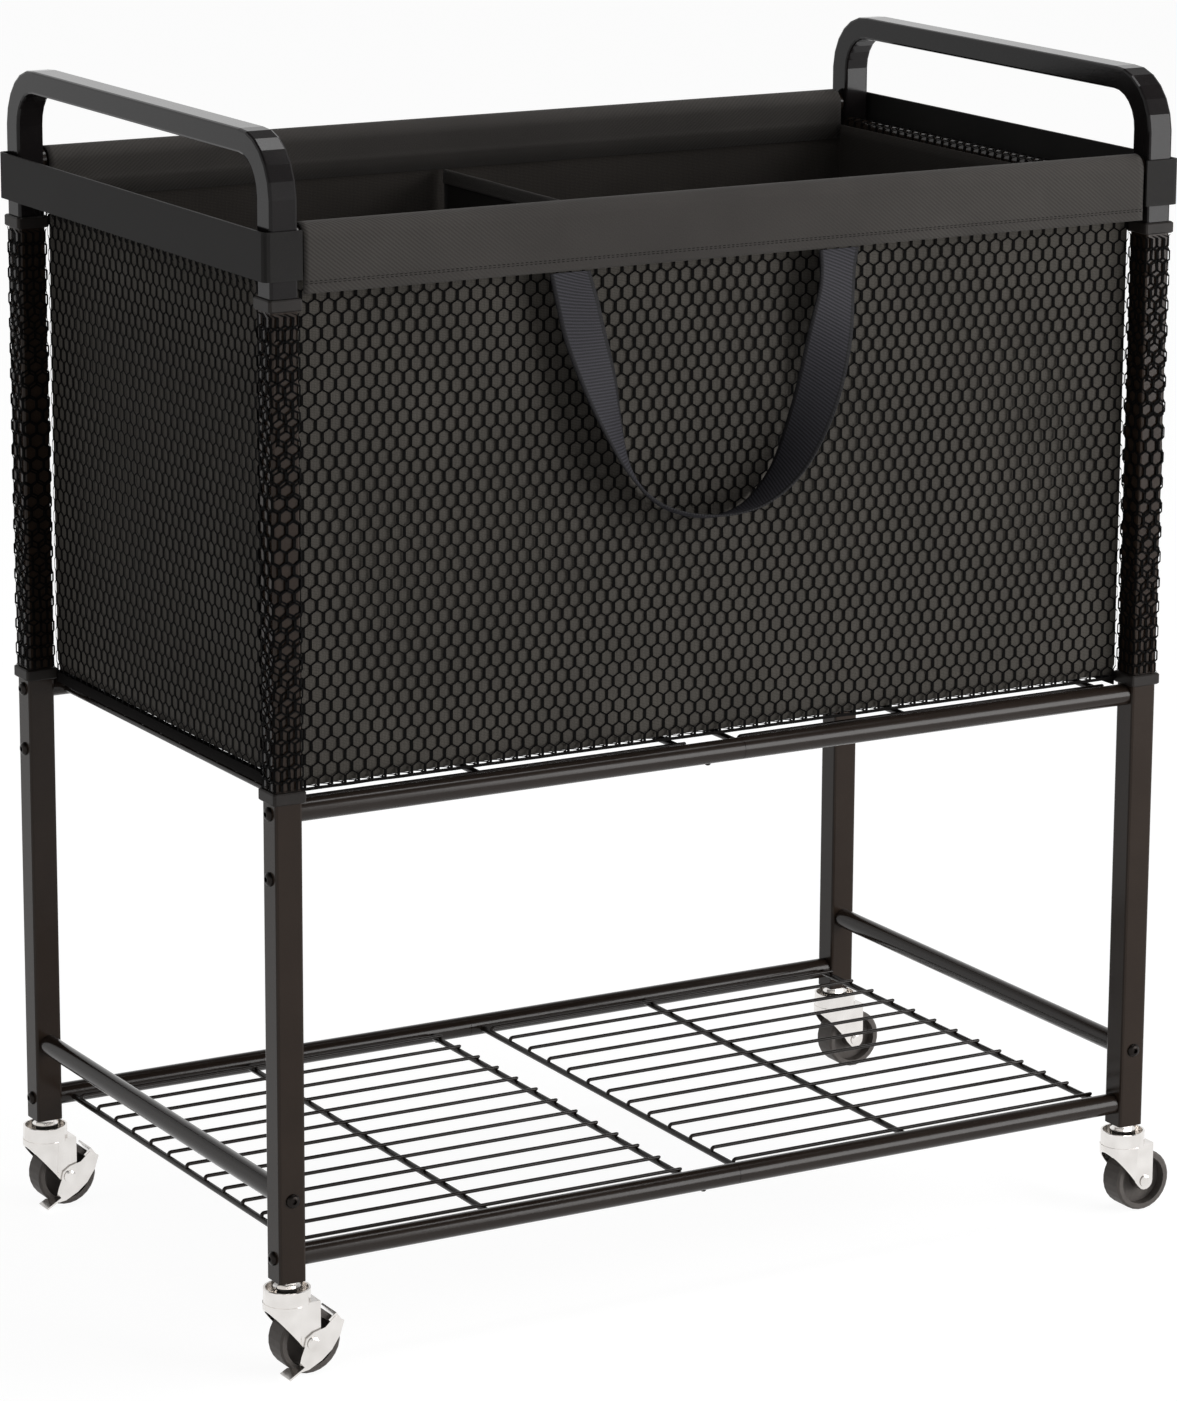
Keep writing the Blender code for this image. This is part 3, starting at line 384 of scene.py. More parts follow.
def mesh_of(name, points, faces, flat=None):
    """A mesh from points and faces, with an optional UV map of metres for each point."""
    mesh = bpy.data.meshes.new(name)
    mesh.from_pydata([tuple(p) for p in points], [], faces)
    if flat is not None:
        layer = mesh.uv_layers.new(name="cloth")
        for loop in mesh.loops:
            layer.data[loop.index].uv = flat[loop.vertex_index]
    mesh.validate()
    return mesh


def grid_faces(rows, columns):
    """The quads of a grid of points that are listed row by row."""
    wide = columns + 1
    return [(row * wide + i, row * wide + i + 1, (row + 1) * wide + i + 1, (row + 1) * wide + i)
            for row in range(rows) for i in range(columns)]


def faced_out(mesh):
    """The same mesh, with the faces of its closed shapes turned outwards."""
    work = bmesh.new()
    work.from_mesh(mesh)
    bmesh.ops.recalc_face_normals(work, faces=work.faces)
    work.to_mesh(mesh)
    work.free()
    return mesh


def joined_mesh(name, meshes):
    """Several meshes as one, which has no material yet."""
    work = bmesh.new()
    for mesh in meshes:
        work.from_mesh(mesh)
    made = bpy.data.meshes.new(name)
    work.to_mesh(made)
    work.free()
    return made


def thicken(piece, thickness, offset=0.0):
    """Give a sheet its thickness: to both sides for an offset of 0, behind its faces for -1."""
    wall = piece.modifiers.new("cloth", "SOLIDIFY")
    wall.thickness = thickness
    wall.offset = offset
    return wall


def start_tree(name, inputs):
    """A tree of Geometry Nodes with these named inputs, and what it is given."""
    tree = bpy.data.node_groups.new(name, "GeometryNodeTree")
    tree.interface.new_socket("Geometry", in_out="INPUT", socket_type="NodeSocketGeometry")
    for label, kind in inputs.items():
        tree.interface.new_socket(label, in_out="INPUT", socket_type=kind)
    tree.interface.new_socket("Geometry", in_out="OUTPUT", socket_type="NodeSocketGeometry")
    return tree, tree.nodes.new("NodeGroupInput").outputs


def finish_tree(tree, given, geometry):
    """Make the instances real, give them the tree's material and hand them out."""
    real = add_node(tree, "GeometryNodeRealizeInstances", {"Geometry": geometry})
    painted = add_node(tree, "GeometryNodeSetMaterial", {
        "Geometry": real.outputs[0], "Material": given["Material"]})
    add_node(tree, "NodeGroupOutput", {0: painted.outputs[0]})


def grown(name, tree, values, base=None):
    """What the tree makes, as a plain mesh. The holder and its modifier are thrown away."""
    holder = put_in_scene(name, base or bpy.data.meshes.new(name))
    modifier = holder.modifiers.new(name, "NODES")
    modifier.node_group = tree
    for item in tree.interface.items_tree:
        if item.item_type == "SOCKET" and item.in_out == "INPUT" and item.name in values:
            modifier[item.identifier] = values[item.name]
    bpy.context.view_layer.update()
    graph = bpy.context.evaluated_depsgraph_get()
    mesh = bpy.data.meshes.new_from_object(holder.evaluated_get(graph), depsgraph=graph)
    bpy.data.objects.remove(holder, do_unlink=True)
    return mesh


print("helpers ready")

# %% [markdown]
# ## Where things are
#
# All places come from the solids. The posts stand at four corners, the bag hangs between them, and
# every soft piece is measured from the solid that it replaces.

# %% Places
net_low, net_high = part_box("mesh_shell")
liner_low, liner_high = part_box("liner_bag")
hem_low, hem_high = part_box("hem_front")
rail_low, rail_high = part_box("top_rail_front")
rod_low, rod_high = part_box("end_rod_left")
sleeve_low, sleeve_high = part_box("mesh_sleeve_front_left")
centre_x = (liner_low.x + liner_high.x) / 2
post_y = -(sleeve_low.y + sleeve_high.y) / 2
post_reach = centre_x - (sleeve_low.x + sleeve_high.x) / 2
rail_z = (rail_low.z + rail_high.z) / 2
rod_z = (rod_low.z + rod_high.z) / 2
rod_reach = centre_x - (rod_low.x + rod_high.x) / 2
net_past_liner = 0.0012
net_half_thick = 0.0006
net_reach_x = centre_x - liner_low.x + net_past_liner
net_reach_y = net_high.y - net_half_thick
floor_z = net_low.z + net_half_thick
print(f"middle of the posts at x = {centre_x * 1000:.1f} mm, posts at y = {post_y * 1000:.1f} mm")

# %% [markdown]
# ## Round rails and wire racks
#
# Round tube and wire look best as a circle drawn along a path, because then they are truly round
# and shade smoothly. One tree of Geometry Nodes does this for every path that it is given: a rail
# is a path of one stretch, and a rack's wire is a long stretch with a small bend down at one end.
# The paths lie exactly where the solids are.

# %% The tree that draws round steel along paths
tube_tree, tube_in = start_tree("round_steel", {
    "Radius": "NodeSocketFloat",
    "Sides": "NodeSocketInt",
    "Material": "NodeSocketMaterial",
})
paths = add_node(tube_tree, "GeometryNodeMeshToCurve", {"Mesh": tube_in["Geometry"]})
section = add_node(tube_tree, "GeometryNodeCurvePrimitiveCircle", {
    "Resolution": tube_in["Sides"], "Radius": tube_in["Radius"]}, mode="RADIUS")
drawn = add_node(tube_tree, "GeometryNodeCurveToMesh", {
    "Curve": paths.outputs["Curve"], "Profile Curve": section.outputs["Curve"], "Fill Caps": True})
finish_tree(tube_tree, tube_in, drawn.outputs["Mesh"])


def round_steel(name, runs, radius, sides, finish):
    """Round bars of one radius along all the runs, each a list of places."""
    points, edges = [], []
    for run in runs:
        first = len(points)
        points.extend(tuple(p) for p in run)
        edges.extend((first + i, first + i + 1) for i in range(len(run) - 1))
    base = bpy.data.meshes.new(name)
    base.from_pydata(points, edges, [])
    return faced_out(grown(name, tube_tree, {
        "Radius": radius, "Sides": sides, "Material": finish}, base))


print("round steel tree:", len(tube_tree.nodes), "nodes")

# %% [markdown]
# ## The single rails and rods
#
# Six straight tubes stand alone: one low rail at each end, the two rails that carry the bag and the
# two rods that carry the net. Each takes its place, length and thickness from its own solid.

# %% Rails and rods
tube_sides = 40
for node_name in ("side_rail_left", "side_rail_right", "end_rod_left", "end_rod_right",
                  "top_rail_front", "top_rail_rear"):
    low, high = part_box(node_name)
    middle = (low + high) / 2
    radius = (high.z - low.z) / 2
    if high.x - low.x > high.y - low.y:
        run = [(low.x, middle.y, middle.z), (high.x, middle.y, middle.z)]
    else:
        run = [(middle.x, low.y, middle.z), (middle.x, high.y, middle.z)]
    bar = add_piece(node_name + "_round", round_steel(node_name, [run], radius, tube_sides, rail_coat),
                    None)
    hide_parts(node_name)
    print(bar.name, round(radius * 2000, 1), "mm thick")

# %% [markdown]
# ## The two wire racks
#
# A rack is two welded halves, side by side. Each half has two rails, three crossbars between them
# and thirteen wires welded on top. The first crossbar sits lower, and the wires bend down to it, so
# that no cut end stands up at the outer edge.

# %% Wire racks
rail_radius = 0.0085
bar_radius = 0.0025
bar_sides = 16
wire_radius = 0.0015
wire_sides = 12
wire_count = 13
wire_spacing = 0.0327
bend_radius = 0.0022
bend_steps = 4
# Crossbars: their places from the half rack's ends, and how far they sit below the rail's middle.
first_bar_in = 0.0115
middle_bar_in = 0.1685
last_bar_in = {"left": 0.0376, "right": 0.0073}
first_bar_drop = 0.0018
bar_drop = 0.0008
# Wires: their height over the rail's middle, and their cut ends past the last crossbar.
wire_rise = 0.0031
wire_past_bar = 0.0008
wire_nose = 0.0007
wire_nose_drop = 0.0004
rail_middle = {"lower": 0.0912, "upper": 0.4324}
rail_from_post = 0.0113
seam_gap = 0.0003
seam_past_middle = 0.0108
inner_left = centre_x - post_reach + rail_from_post
inner_right = centre_x + post_reach - rail_from_post
seam_x = centre_x + seam_past_middle


def rack_meshes(level, end):
    """Rails, crossbars and wires of one half rack."""
    z = rail_middle[level]
    low, high = (inner_left, seam_x - seam_gap) if end == "left" else (seam_x, inner_right)
    rails = [[(low, side * post_y, z), (high, side * post_y, z)] for side in (-1, 1)]
    first = low + first_bar_in
    last = high - last_bar_in[end]
    bar_end = post_y - rail_radius / 2
    bars = [[(x, -bar_end, z - drop), (x, bar_end, z - drop)]
            for x, drop in ((first, first_bar_drop), (low + middle_bar_in, bar_drop), (last, bar_drop))]
    wire_z = z + wire_rise
    wires = []
    for index in range(wire_count):
        y = wire_spacing * (index - (wire_count - 1) / 2)
        run = [(first, y, z - first_bar_drop)]
        for step in range(bend_steps + 1):
            angle = math.pi / 2 * step / bend_steps
            run.append((first + bend_radius * (1 - math.cos(angle)), y,
                        wire_z - bend_radius * (1 - math.sin(angle))))
        run.append((last + wire_past_bar, y, wire_z))
        run.append((last + wire_past_bar + wire_nose, y, wire_z - wire_nose_drop))
        wires.append(run)
    return [round_steel("rails", rails, rail_radius, tube_sides, rail_coat),
            round_steel("bars", bars, bar_radius, bar_sides, wire_coat),
            round_steel("wires", wires, wire_radius, wire_sides, wire_coat)]


for level in ("lower", "upper"):
    for end in ("left", "right"):
        rails, bars, wires = rack_meshes(level, end)
        node_name = f"{level}_rack_{end}"
        piece = add_piece(node_name + "_rails", rails, None)
        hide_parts(node_name)
        add_piece(node_name + "_wires", joined_mesh("wires", [bars, wires]), wire_coat)

# %% [markdown]
# ## The hexagon net
#
# The net is a knit of six-sided holes eleven millimetres apart. Its upright threads are doubled
# and look twice as thick as the slanting ones. A picture of holes on a flat wall would look wrong
# from the side and would let no daylight through, so each thread is real geometry.
#
# One bent thread, three sides of a hexagon, repeats over a grid. Every second row moves over by
# half a pitch, and the ends meet, so the whole net is this one shape many hundred times over.

# %% One thread of the net
net_pitch = 0.011
net_row = net_pitch * math.cos(math.radians(30))
net_side = net_pitch / 2 / math.cos(math.radians(30))


def thread_mesh(upright, slanting, depth):
    """Three sides of a hexagon as one closed flat cord, in the plane z = 0."""
    half = net_pitch / 2
    line = [(0, net_side), (half, net_side / 2), (half, -net_side / 2), (0, -net_side)]
    widths = [slanting, upright, slanting]
    outline = []
    for hand in (1, -1):
        side = []
        for (x0, y0), (x1, y1), width in zip(line, line[1:], widths):
            long = math.hypot(x1 - x0, y1 - y0)
            nx, ny = (y0 - y1) / long, (x1 - x0) / long
            side.append((x0 + nx * width / 2 * hand, y0 + ny * width / 2 * hand))
            side.append((x1 + nx * width / 2 * hand, y1 + ny * width / 2 * hand))
        outline.extend(side if hand > 0 else side[::-1])
    count = len(outline)
    points = [(x, y, depth / 2) for x, y in outline] + [(x, y, -depth / 2) for x, y in outline]
    mid = count // 2
    faces = []
    for i in range(mid - 1):
        faces.append((i, i + 1, count - 2 - i, count - 1 - i))
        faces.append((count + count - 1 - i, count + count - 2 - i, count + i + 1, count + i))
    for i in range(count):
        faces.append((i, i + count, (i + 1) % count + count, (i + 1) % count))
    return faced_out(mesh_of("thread", points, faces))


thread = bpy.data.objects.new("thread", thread_mesh(0.0022, 0.0010, 0.0004))
print("faces in one thread:", len(thread.data.polygons))

# %% [markdown]
# ## Laying the net out
#
# Geometry Nodes lay the net out flat. A grid gives one point for each thread, and it is moved so
# that it begins at the origin. The row's number tells which rows move over by half a pitch. The flat
# net is later bent to its place, as cloth is: up a wall, over a rod, or round a post.

# %% The tree that lays the net out
net_tree, net_in = start_tree("hexagon_net", {
    "Thread": "NodeSocketObject",
    "Columns": "NodeSocketInt",
    "Rows": "NodeSocketInt",
    "Pitch": "NodeSocketFloat",
    "Row height": "NodeSocketFloat",
    "Material": "NodeSocketMaterial",
})
columns_less = add_node(net_tree, "ShaderNodeMath", {
    0: net_in["Columns"], 1: 1.0}, operation="SUBTRACT")
rows_less = add_node(net_tree, "ShaderNodeMath", {
    0: net_in["Rows"], 1: 1.0}, operation="SUBTRACT")
long_side = add_node(net_tree, "ShaderNodeMath", {
    0: columns_less.outputs[0], 1: net_in["Pitch"]}, operation="MULTIPLY")
high_side = add_node(net_tree, "ShaderNodeMath", {
    0: rows_less.outputs[0], 1: net_in["Row height"]}, operation="MULTIPLY")
grid = add_node(net_tree, "GeometryNodeMeshGrid", {
    "Size X": long_side.outputs[0],
    "Size Y": high_side.outputs[0],
    "Vertices X": net_in["Columns"],
    "Vertices Y": net_in["Rows"],
})
half_long = add_node(net_tree, "ShaderNodeMath", {
    0: long_side.outputs[0], 1: 0.5}, operation="MULTIPLY")
half_high = add_node(net_tree, "ShaderNodeMath", {
    0: high_side.outputs[0], 1: 0.5}, operation="MULTIPLY")
to_corner = add_node(net_tree, "ShaderNodeCombineXYZ", {
    "X": half_long.outputs[0], "Y": half_high.outputs[0]})
from_corner = add_node(net_tree, "GeometryNodeSetPosition", {
    "Geometry": grid.outputs["Mesh"], "Offset": to_corner.outputs[0]})
where = add_node(net_tree, "ShaderNodeSeparateXYZ", {
    "Vector": add_node(net_tree, "GeometryNodeInputPosition").outputs[0]})
row_share = add_node(net_tree, "ShaderNodeMath", {
    0: where.outputs["Y"], 1: net_in["Row height"]}, operation="DIVIDE")
row_number = add_node(net_tree, "ShaderNodeMath", {0: row_share.outputs[0]}, operation="ROUND")
odd_row = add_node(net_tree, "ShaderNodeMath", {
    0: row_number.outputs[0], 1: 2.0}, operation="MODULO")
half_pitch = add_node(net_tree, "ShaderNodeMath", {
    0: net_in["Pitch"], 1: 0.5}, operation="MULTIPLY")
shift = add_node(net_tree, "ShaderNodeMath", {
    0: odd_row.outputs[0], 1: half_pitch.outputs[0]}, operation="MULTIPLY")
staggered = add_node(net_tree, "GeometryNodeSetPosition", {
    "Geometry": from_corner.outputs[0],
    "Offset": add_node(net_tree, "ShaderNodeCombineXYZ", {"X": shift.outputs[0]}).outputs[0],
})
one_thread = add_node(net_tree, "GeometryNodeObjectInfo", {"Object": net_in["Thread"]})
threads = add_node(net_tree, "GeometryNodeInstanceOnPoints", {
    "Points": staggered.outputs[0], "Instance": one_thread.outputs["Geometry"]})
finish_tree(net_tree, net_in, threads.outputs[0])


def flat_net(name, wide, high, shrink=1.0, cord=None):
    """A flat net that fills a width and a height with whole threads."""
    columns = max(2, round(wide / (net_pitch * shrink)))
    rows = max(2, round(high / (net_row * shrink)))
    mesh = grown(name, net_tree, {
        "Thread": cord or thread,
        "Columns": columns,
        "Rows": rows,
        "Pitch": net_pitch,
        "Row height": net_row,
        "Material": net_cord,
    })
    scale = Matrix.Diagonal((
        wide / (columns * net_pitch), high / (rows * net_row), 1.0, 1.0))
    mesh.transform(scale @ Matrix.Translation((net_pitch / 4, net_side / 2, 0)))
    return mesh


sample = flat_net("sample", 0.11, 0.11)
print("a net of 110 x 110 mm has", len(sample.vertices), "points")
bpy.data.meshes.remove(sample)

# %% [markdown]
# ## Bending the net to its place
#
# Each panel has its own rule that takes a place on the flat net, in metres across and up, to a
# place in space and the direction of its outer side. A little slow noise keeps the panels from
# looking ruled. The front and rear panels go up under the hems. The end panels go up behind the
# end rods, over them and down on the outside. A floor joins them below.

# %% Bend and add the panels
edge_inset = 0.0003


def kept_inside(value, limit):
    """A thread end that would stand out past the panel's edge is folded in along the edge."""
    if value < edge_inset:
        return edge_inset + 0.02 * value
    if value > limit - edge_inset:
        return limit - edge_inset + 0.02 * (value - limit)
    return value


def bend(mesh, rule, wide, high, ripple):
    """Move each point of a flat net by the rule; its depth goes along the outer side."""
    for vertex in mesh.vertices:
        across, up, depth = vertex.co
        across, up = kept_inside(across, wide), kept_inside(up, high)
        place, outer = rule(across, up)
        wander = (0.5 + 0.5 * noise.noise(Vector((place.x * 9, place.y * 9, place.z * 9)))) * ripple
        vertex.co = place + outer * (depth + wander)
    mesh.update()


def wall_rule(hand):
    """The front (hand -1) or rear (hand 1) panel."""
    def rule(across, up):
        return (Vector((centre_x - net_reach_x + across, hand * net_reach_y, floor_z + up)),
                Vector((0, hand, 0)))
    return rule


fold_radius = 0.0070
fold_flap = 0.023
lean_height = 0.05


def end_rule(hand):
    """The left (hand -1) or right (hand 1) panel, with its fold over the rod."""
    straight = rod_z - floor_z
    turn = math.pi * fold_radius

    def rule(across, up):
        y = -net_reach_y + across
        x = centre_x + hand * net_reach_x
        rod_x = centre_x + hand * rod_reach
        if up <= straight:
            lean = max(0.0, (up - straight + lean_height) / lean_height)
            x = x + (rod_x - hand * fold_radius - x) * lean
            return Vector((x, y, floor_z + up)), Vector((hand, 0, 0))
        if up <= straight + turn:
            angle = (up - straight) / fold_radius
            side = Vector((-hand * math.cos(angle), 0, math.sin(angle)))
            return Vector((rod_x, y, rod_z)) + side * fold_radius, -side
        down = up - straight - turn
        return Vector((rod_x + hand * fold_radius, y, rod_z - down)), Vector((-hand, 0, 0))
    return rule


def floor_rule(across, up):
    return (Vector((centre_x - net_reach_x + across, -net_reach_y + up, floor_z)),
            Vector((0, 0, -1)))


wall_wide = 2 * net_reach_x
under_hem = 0.012
wall_high = hem_low.z + under_hem - floor_z
end_wide = 2 * net_reach_y
end_high = rod_z - floor_z + math.pi * fold_radius + fold_flap
ripple = 0.0003
panels = {
    "front": (wall_rule(-1), wall_wide, wall_high, ripple),
    "rear": (wall_rule(1), wall_wide, wall_high, ripple),
    "left": (end_rule(-1), end_wide, end_high, ripple),
    "right": (end_rule(1), end_wide, end_high, ripple),
    "floor": (floor_rule, wall_wide, end_wide, 0.0),
}
for label, (rule, wide, high, wander) in panels.items():
    mesh = flat_net("net_" + label, wide, high)
    bend(mesh, rule, wide, high, wander)
    add_piece("net_" + label, mesh, None, smooth=0)
    print("net", label, round(wide * 1000), "x", round(high * 1000), "mm,", len(mesh.polygons), "faces")
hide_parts("mesh_shell")

# %% [markdown]
# ## The tape round the net's bottom
#
# A black tape is folded over the net's lower edge and sewn through it. From the front it is a thin
# dark line under the last row of holes. At the two ends it hangs a little lower, as a folded strip.
# It is drawn as a short section that runs along each of the four edges.

# %% Binding tape
tape_wall = 0.0004
tape_out = 0.0011
tape_short = 0.0035
tape_steps = 90
tape_wave = 0.0003
# Sections of the tape, as steps outwards and up: at the front and rear, and at the two ends.
side_section = [(tape_out, 0.0012), (tape_out, -0.0010), (-0.006, -0.0010)]
end_section = [(tape_out, 0.0014), (tape_out, -0.0068), (tape_out - 0.0007, -0.0068),
               (tape_out - 0.0009, -0.0013), (-0.008, -0.0013)]


def tape_mesh(section, start, along, outer, length):
    """A strip with this section, from a start along an edge."""
    points = []
    for step in range(tape_steps + 1):
        way = length * step / tape_steps
        for index, (out, up) in enumerate(section):
            wave = noise.noise(Vector((way * 40, index * 0.4, outer.x + 2 * outer.y))) * tape_wave
            points.append(start + along * way + outer * out + Vector((0, 0, up + wave)))
    return mesh_of("tape", points, grid_faces(tape_steps, len(section) - 1))


tapes = []
for hand in (-1, 1):
    side_start = Vector((centre_x - net_reach_x, hand * net_reach_y, floor_z))
    end_start = Vector((centre_x + hand * net_reach_x, tape_short - net_reach_y, floor_z))
    tapes.append(tape_mesh(side_section, side_start, Vector((1, 0, 0)), Vector((0, hand, 0)), wall_wide))
    tapes.append(tape_mesh(end_section, end_start, Vector((0, 1, 0)), Vector((hand, 0, 0)),
                           end_wide - 2 * tape_short))
net_tape = add_piece("net_tape", joined_mesh("tape", tapes), stitch_thread, smooth=50)
thicken(net_tape, tape_wall)
print("tape:", len(net_tape.data.polygons), "faces")

# %% [markdown]

# %% [markdown]
# ## Net sleeves round the posts
#
# At the corners the net runs round the upper posts as a sleeve. There it lies in two layers that
# have slipped against each other, so it looks denser and crumpled. Both layers are the same
# flat net in a finer cord, rolled round a square with rounded corners, the outer one shifted by
# half a hole. The cord is pressed flat against the post, and slow noise moves it up and along.

# %% Sleeves
def square_round(share, half, radius):
    """A place on a rounded square and its outer side, by the share of the way round."""
    straight = 2 * (half - radius)
    quarter = math.pi / 2 * radius
    way = (share % 1.0) * 4 * (straight + quarter)
    side = int(way // (straight + quarter))
    way -= side * (straight + quarter)
    turn = Matrix.Rotation(math.pi / 2 * side, 3, "Z")
    if way < straight:
        return turn @ Vector((half, way - straight / 2, 0)), turn @ Vector((1, 0, 0))
    angle = (way - straight) / radius
    outer = Vector((math.cos(angle), math.sin(angle), 0))
    return turn @ (Vector((half - radius, half - radius, 0)) + outer * radius), turn @ outer


sleeve_tall = sleeve_high.z - sleeve_low.z
sleeve_corner = 0.003
sleeve_slip = 0.0012
sleeve_edge = 0.0005
sleeve_pressed = 0.7
# The two layers: half the square's side, where they start round it, and the size of their holes.
sleeve_layers = ((0.01165, 0.0, 1.0), (0.0124, 0.0625, 1.05))
fine_thread = bpy.data.objects.new("fine_thread", thread_mesh(0.0020, 0.0013, 0.0006))


def sleeve_mesh(hand_x, hand_y):
    """Both layers of one sleeve, round the post at this corner."""
    middle = Vector((centre_x + hand_x * post_reach, hand_y * post_y, sleeve_low.z))
    layers = []
    for layer, (half, start, hole_share) in enumerate(sleeve_layers):
        round_it = 8 * (half - sleeve_corner) + 2 * math.pi * sleeve_corner
        mesh = flat_net("sleeve", round_it, sleeve_tall, hole_share, fine_thread)
        for vertex in mesh.vertices:
            across, up, depth = vertex.co
            slip = noise.noise(Vector((across * 60, up * 45, layer * 7 + hand_x))) * sleeve_slip
            rise = noise.noise(Vector((across * 60 + 9, up * 45, layer * 7 + hand_y))) * sleeve_slip
            place, outer = square_round((across + slip) / round_it + start, half, sleeve_corner)
            up = min(max(up + rise, sleeve_edge), sleeve_tall - sleeve_edge)
            vertex.co = middle + place + outer * depth * sleeve_pressed + Vector((0, 0, up))
        layers.append(mesh)
    return joined_mesh("sleeve", layers)


for end, hand_x in (("left", -1), ("right", 1)):
    for face, hand_y in (("front", -1), ("rear", 1)):
        label = f"{face}_{end}"
        sleeve = add_piece("net_sleeve_" + label, sleeve_mesh(hand_x, hand_y), net_cord,
                           smooth=0)
        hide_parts("mesh_sleeve_" + label)
print("faces in a sleeve:", len(sleeve.data.polygons))

# %% [markdown]
# ## The liner
#
# The liner is a sewn box of oxford cloth, open at the top. Its upright corners are seams, so they
# are nearly sharp, and its walls give a little inwards between them. It is made as one grid that
# goes round the four walls, with a floor whose edge rounds up into them. The inner side of the
# cloth has flatter bumps and a darker finish of its own; the darker colour is painted shade.

# %% The liner's outline and slack
liner_gap = 0.0004
liner_half_x = net_reach_x - liner_gap
liner_half_y = net_reach_y - liner_gap
liner_wall = 0.0009
liner_corner = 0.0015
corner_steps = 4
ring_step = 0.008
liner_edge = 0.003
liner_base = liner_low.z + liner_wall
liner_top = liner_high.z
slack_even = 0.0008
slack_slow = 0.0012
slack_crease = 0.0005
slack_reach = 0.05


def ring_stations(half_x, half_y, radius):
    """Places round a rounded rectangle, each with its outer side and the way to it."""
    stations = []
    reached = 0.0
    for index in range(4):
        turn = math.pi / 2 * index
        outer = Vector((math.cos(turn), math.sin(turn), 0))
        along = Vector((-math.sin(turn), math.cos(turn), 0))
        reach, half_long = (half_x, half_y) if index % 2 == 0 else (half_y, half_x)
        length = 2 * (half_long - radius)
        steps = round(length / ring_step)
        for step in range(steps):
            way = length * step / steps
            stations.append((outer * reach + along * (way - length / 2), outer, reached + way))
        reached += length
        corner = outer * (reach - radius) + along * length / 2
        for step in range(corner_steps):
            angle = math.pi / 2 * step / corner_steps
            out = outer * math.cos(angle) + along * math.sin(angle)
            stations.append((corner + out * radius, out, reached + radius * angle))
        reached += math.pi / 2 * radius
    return stations


def slack(x, y, z):
    """How far a wall gives inwards between its seams, in metres."""
    tall = (z - liner_base) / (liner_top - liner_base)
    from_corner = max(liner_half_x - abs(x), liner_half_y - abs(y))
    free = math.sin(math.pi * min(max(tall, 0.0), 1.0)) * min(1.0, from_corner / slack_reach)
    slow = noise.noise(Vector((x * 5 + z * 3, y * 5, z * 4 - x * 2)))
    crease = noise.noise(Vector((x * 16 + z * 9, y * 16 + 4, z * 7)))
    return free * (slack_even + slack_slow * slow) + slack_crease * crease * min(1.0, 4 * free)


# %% [markdown]
# ## The liner's walls and floor
#
# The places round the liner are repeated up the walls, each a little further in where the cloth
# gives. For the floor they shrink towards the middle. The thickness of the cloth goes inwards, and
# its inner side takes the second material.

# %% Liner mesh
ring = ring_stations(liner_half_x, liner_half_y, liner_corner)
around = len(ring)
wall_rows = 44
floor_rings = 14
middle_hole = 0.001
liner_tall = liner_top - liner_base
liner_points = []
liner_flat = []
liner_faces = []


def join_rings(low, high):
    """Quads between two rings of points, which start at these numbers."""
    for step in range(around):
        after = (step + 1) % around
        liner_faces.append((low + step, low + after, high + after, high + step))


for row in range(wall_rows + 1):
    rise = liner_tall * row / wall_rows
    z = liner_base + rise
    tuck = 0.0
    if rise < liner_edge:
        tuck = liner_edge * (1 - math.sqrt(1 - (1 - rise / liner_edge) ** 2))
    for place, outer, way in ring:
        point = place - outer * (tuck + max(0.0, slack(place.x, place.y, z)))
        liner_points.append(point + Vector((centre_x, 0, z)))
        liner_flat.append((way, z))
    if row:
        join_rings((row - 1) * around, row * around)
last = 0
for inner in range(1, floor_rings + 1):
    share = 1 - (1 - middle_hole) * inner / floor_rings
    base = len(liner_points)
    for x, y, _ in liner_points[:around]:
        liner_points.append(Vector((centre_x + (x - centre_x) * share, y * share, liner_base)))
        liner_flat.append(liner_points[-1][:2])
    join_rings(base, last)
    last = base
liner_faces.append([last + step for step in range(around)][::-1])

liner = add_piece("liner", mesh_of("liner", liner_points, liner_faces, liner_flat), liner_cloth,
                  smooth=60)
# The inner side takes the darker oxford, whose darkness is painted shade.
liner.data.materials.append(painted_shade_lining)
thicken(liner, liner_wall, offset=-1).material_offset = 1
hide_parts("liner_bag")
print("liner:", len(liner_points), "points, walls", round(liner_tall * 1000), "mm tall")

# %% [markdown]
# ## The divider
#
# One more sheet of the same cloth stands across the bag and makes two compartments. Its top edge
# is bound with a folded strip, which shows as a thicker dark line.

# %% Divider and its binding
divider_low, divider_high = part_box("liner_divider")
divider_x = (divider_low.x + divider_high.x) / 2
divider_wall = 0.0012
divider_seam = 0.0075
divider_half = liner_half_y - divider_seam
divider_base = divider_low.z + divider_wall / 2
divider_tall = divider_high.z - divider_low.z - divider_wall
divider_wave = 0.006
binding_wall = 0.0006
binding_out = 0.0016
binding_over = 0.0012
binding_down = 0.010


def divider_place(across, up):
    """A place on the sheet, with a slow wave between its three sewn edges."""
    y = -divider_half + across
    z = divider_base + up
    tall = up / (divider_high.z - divider_low.z)
    free = math.sin(math.pi * across / (2 * divider_half)) * min(1.0, tall * 1.5)
    wave = noise.noise(Vector((y * 7, z * 5, 3.0))) * divider_wave * free
    return Vector((divider_x + wave, y, z))


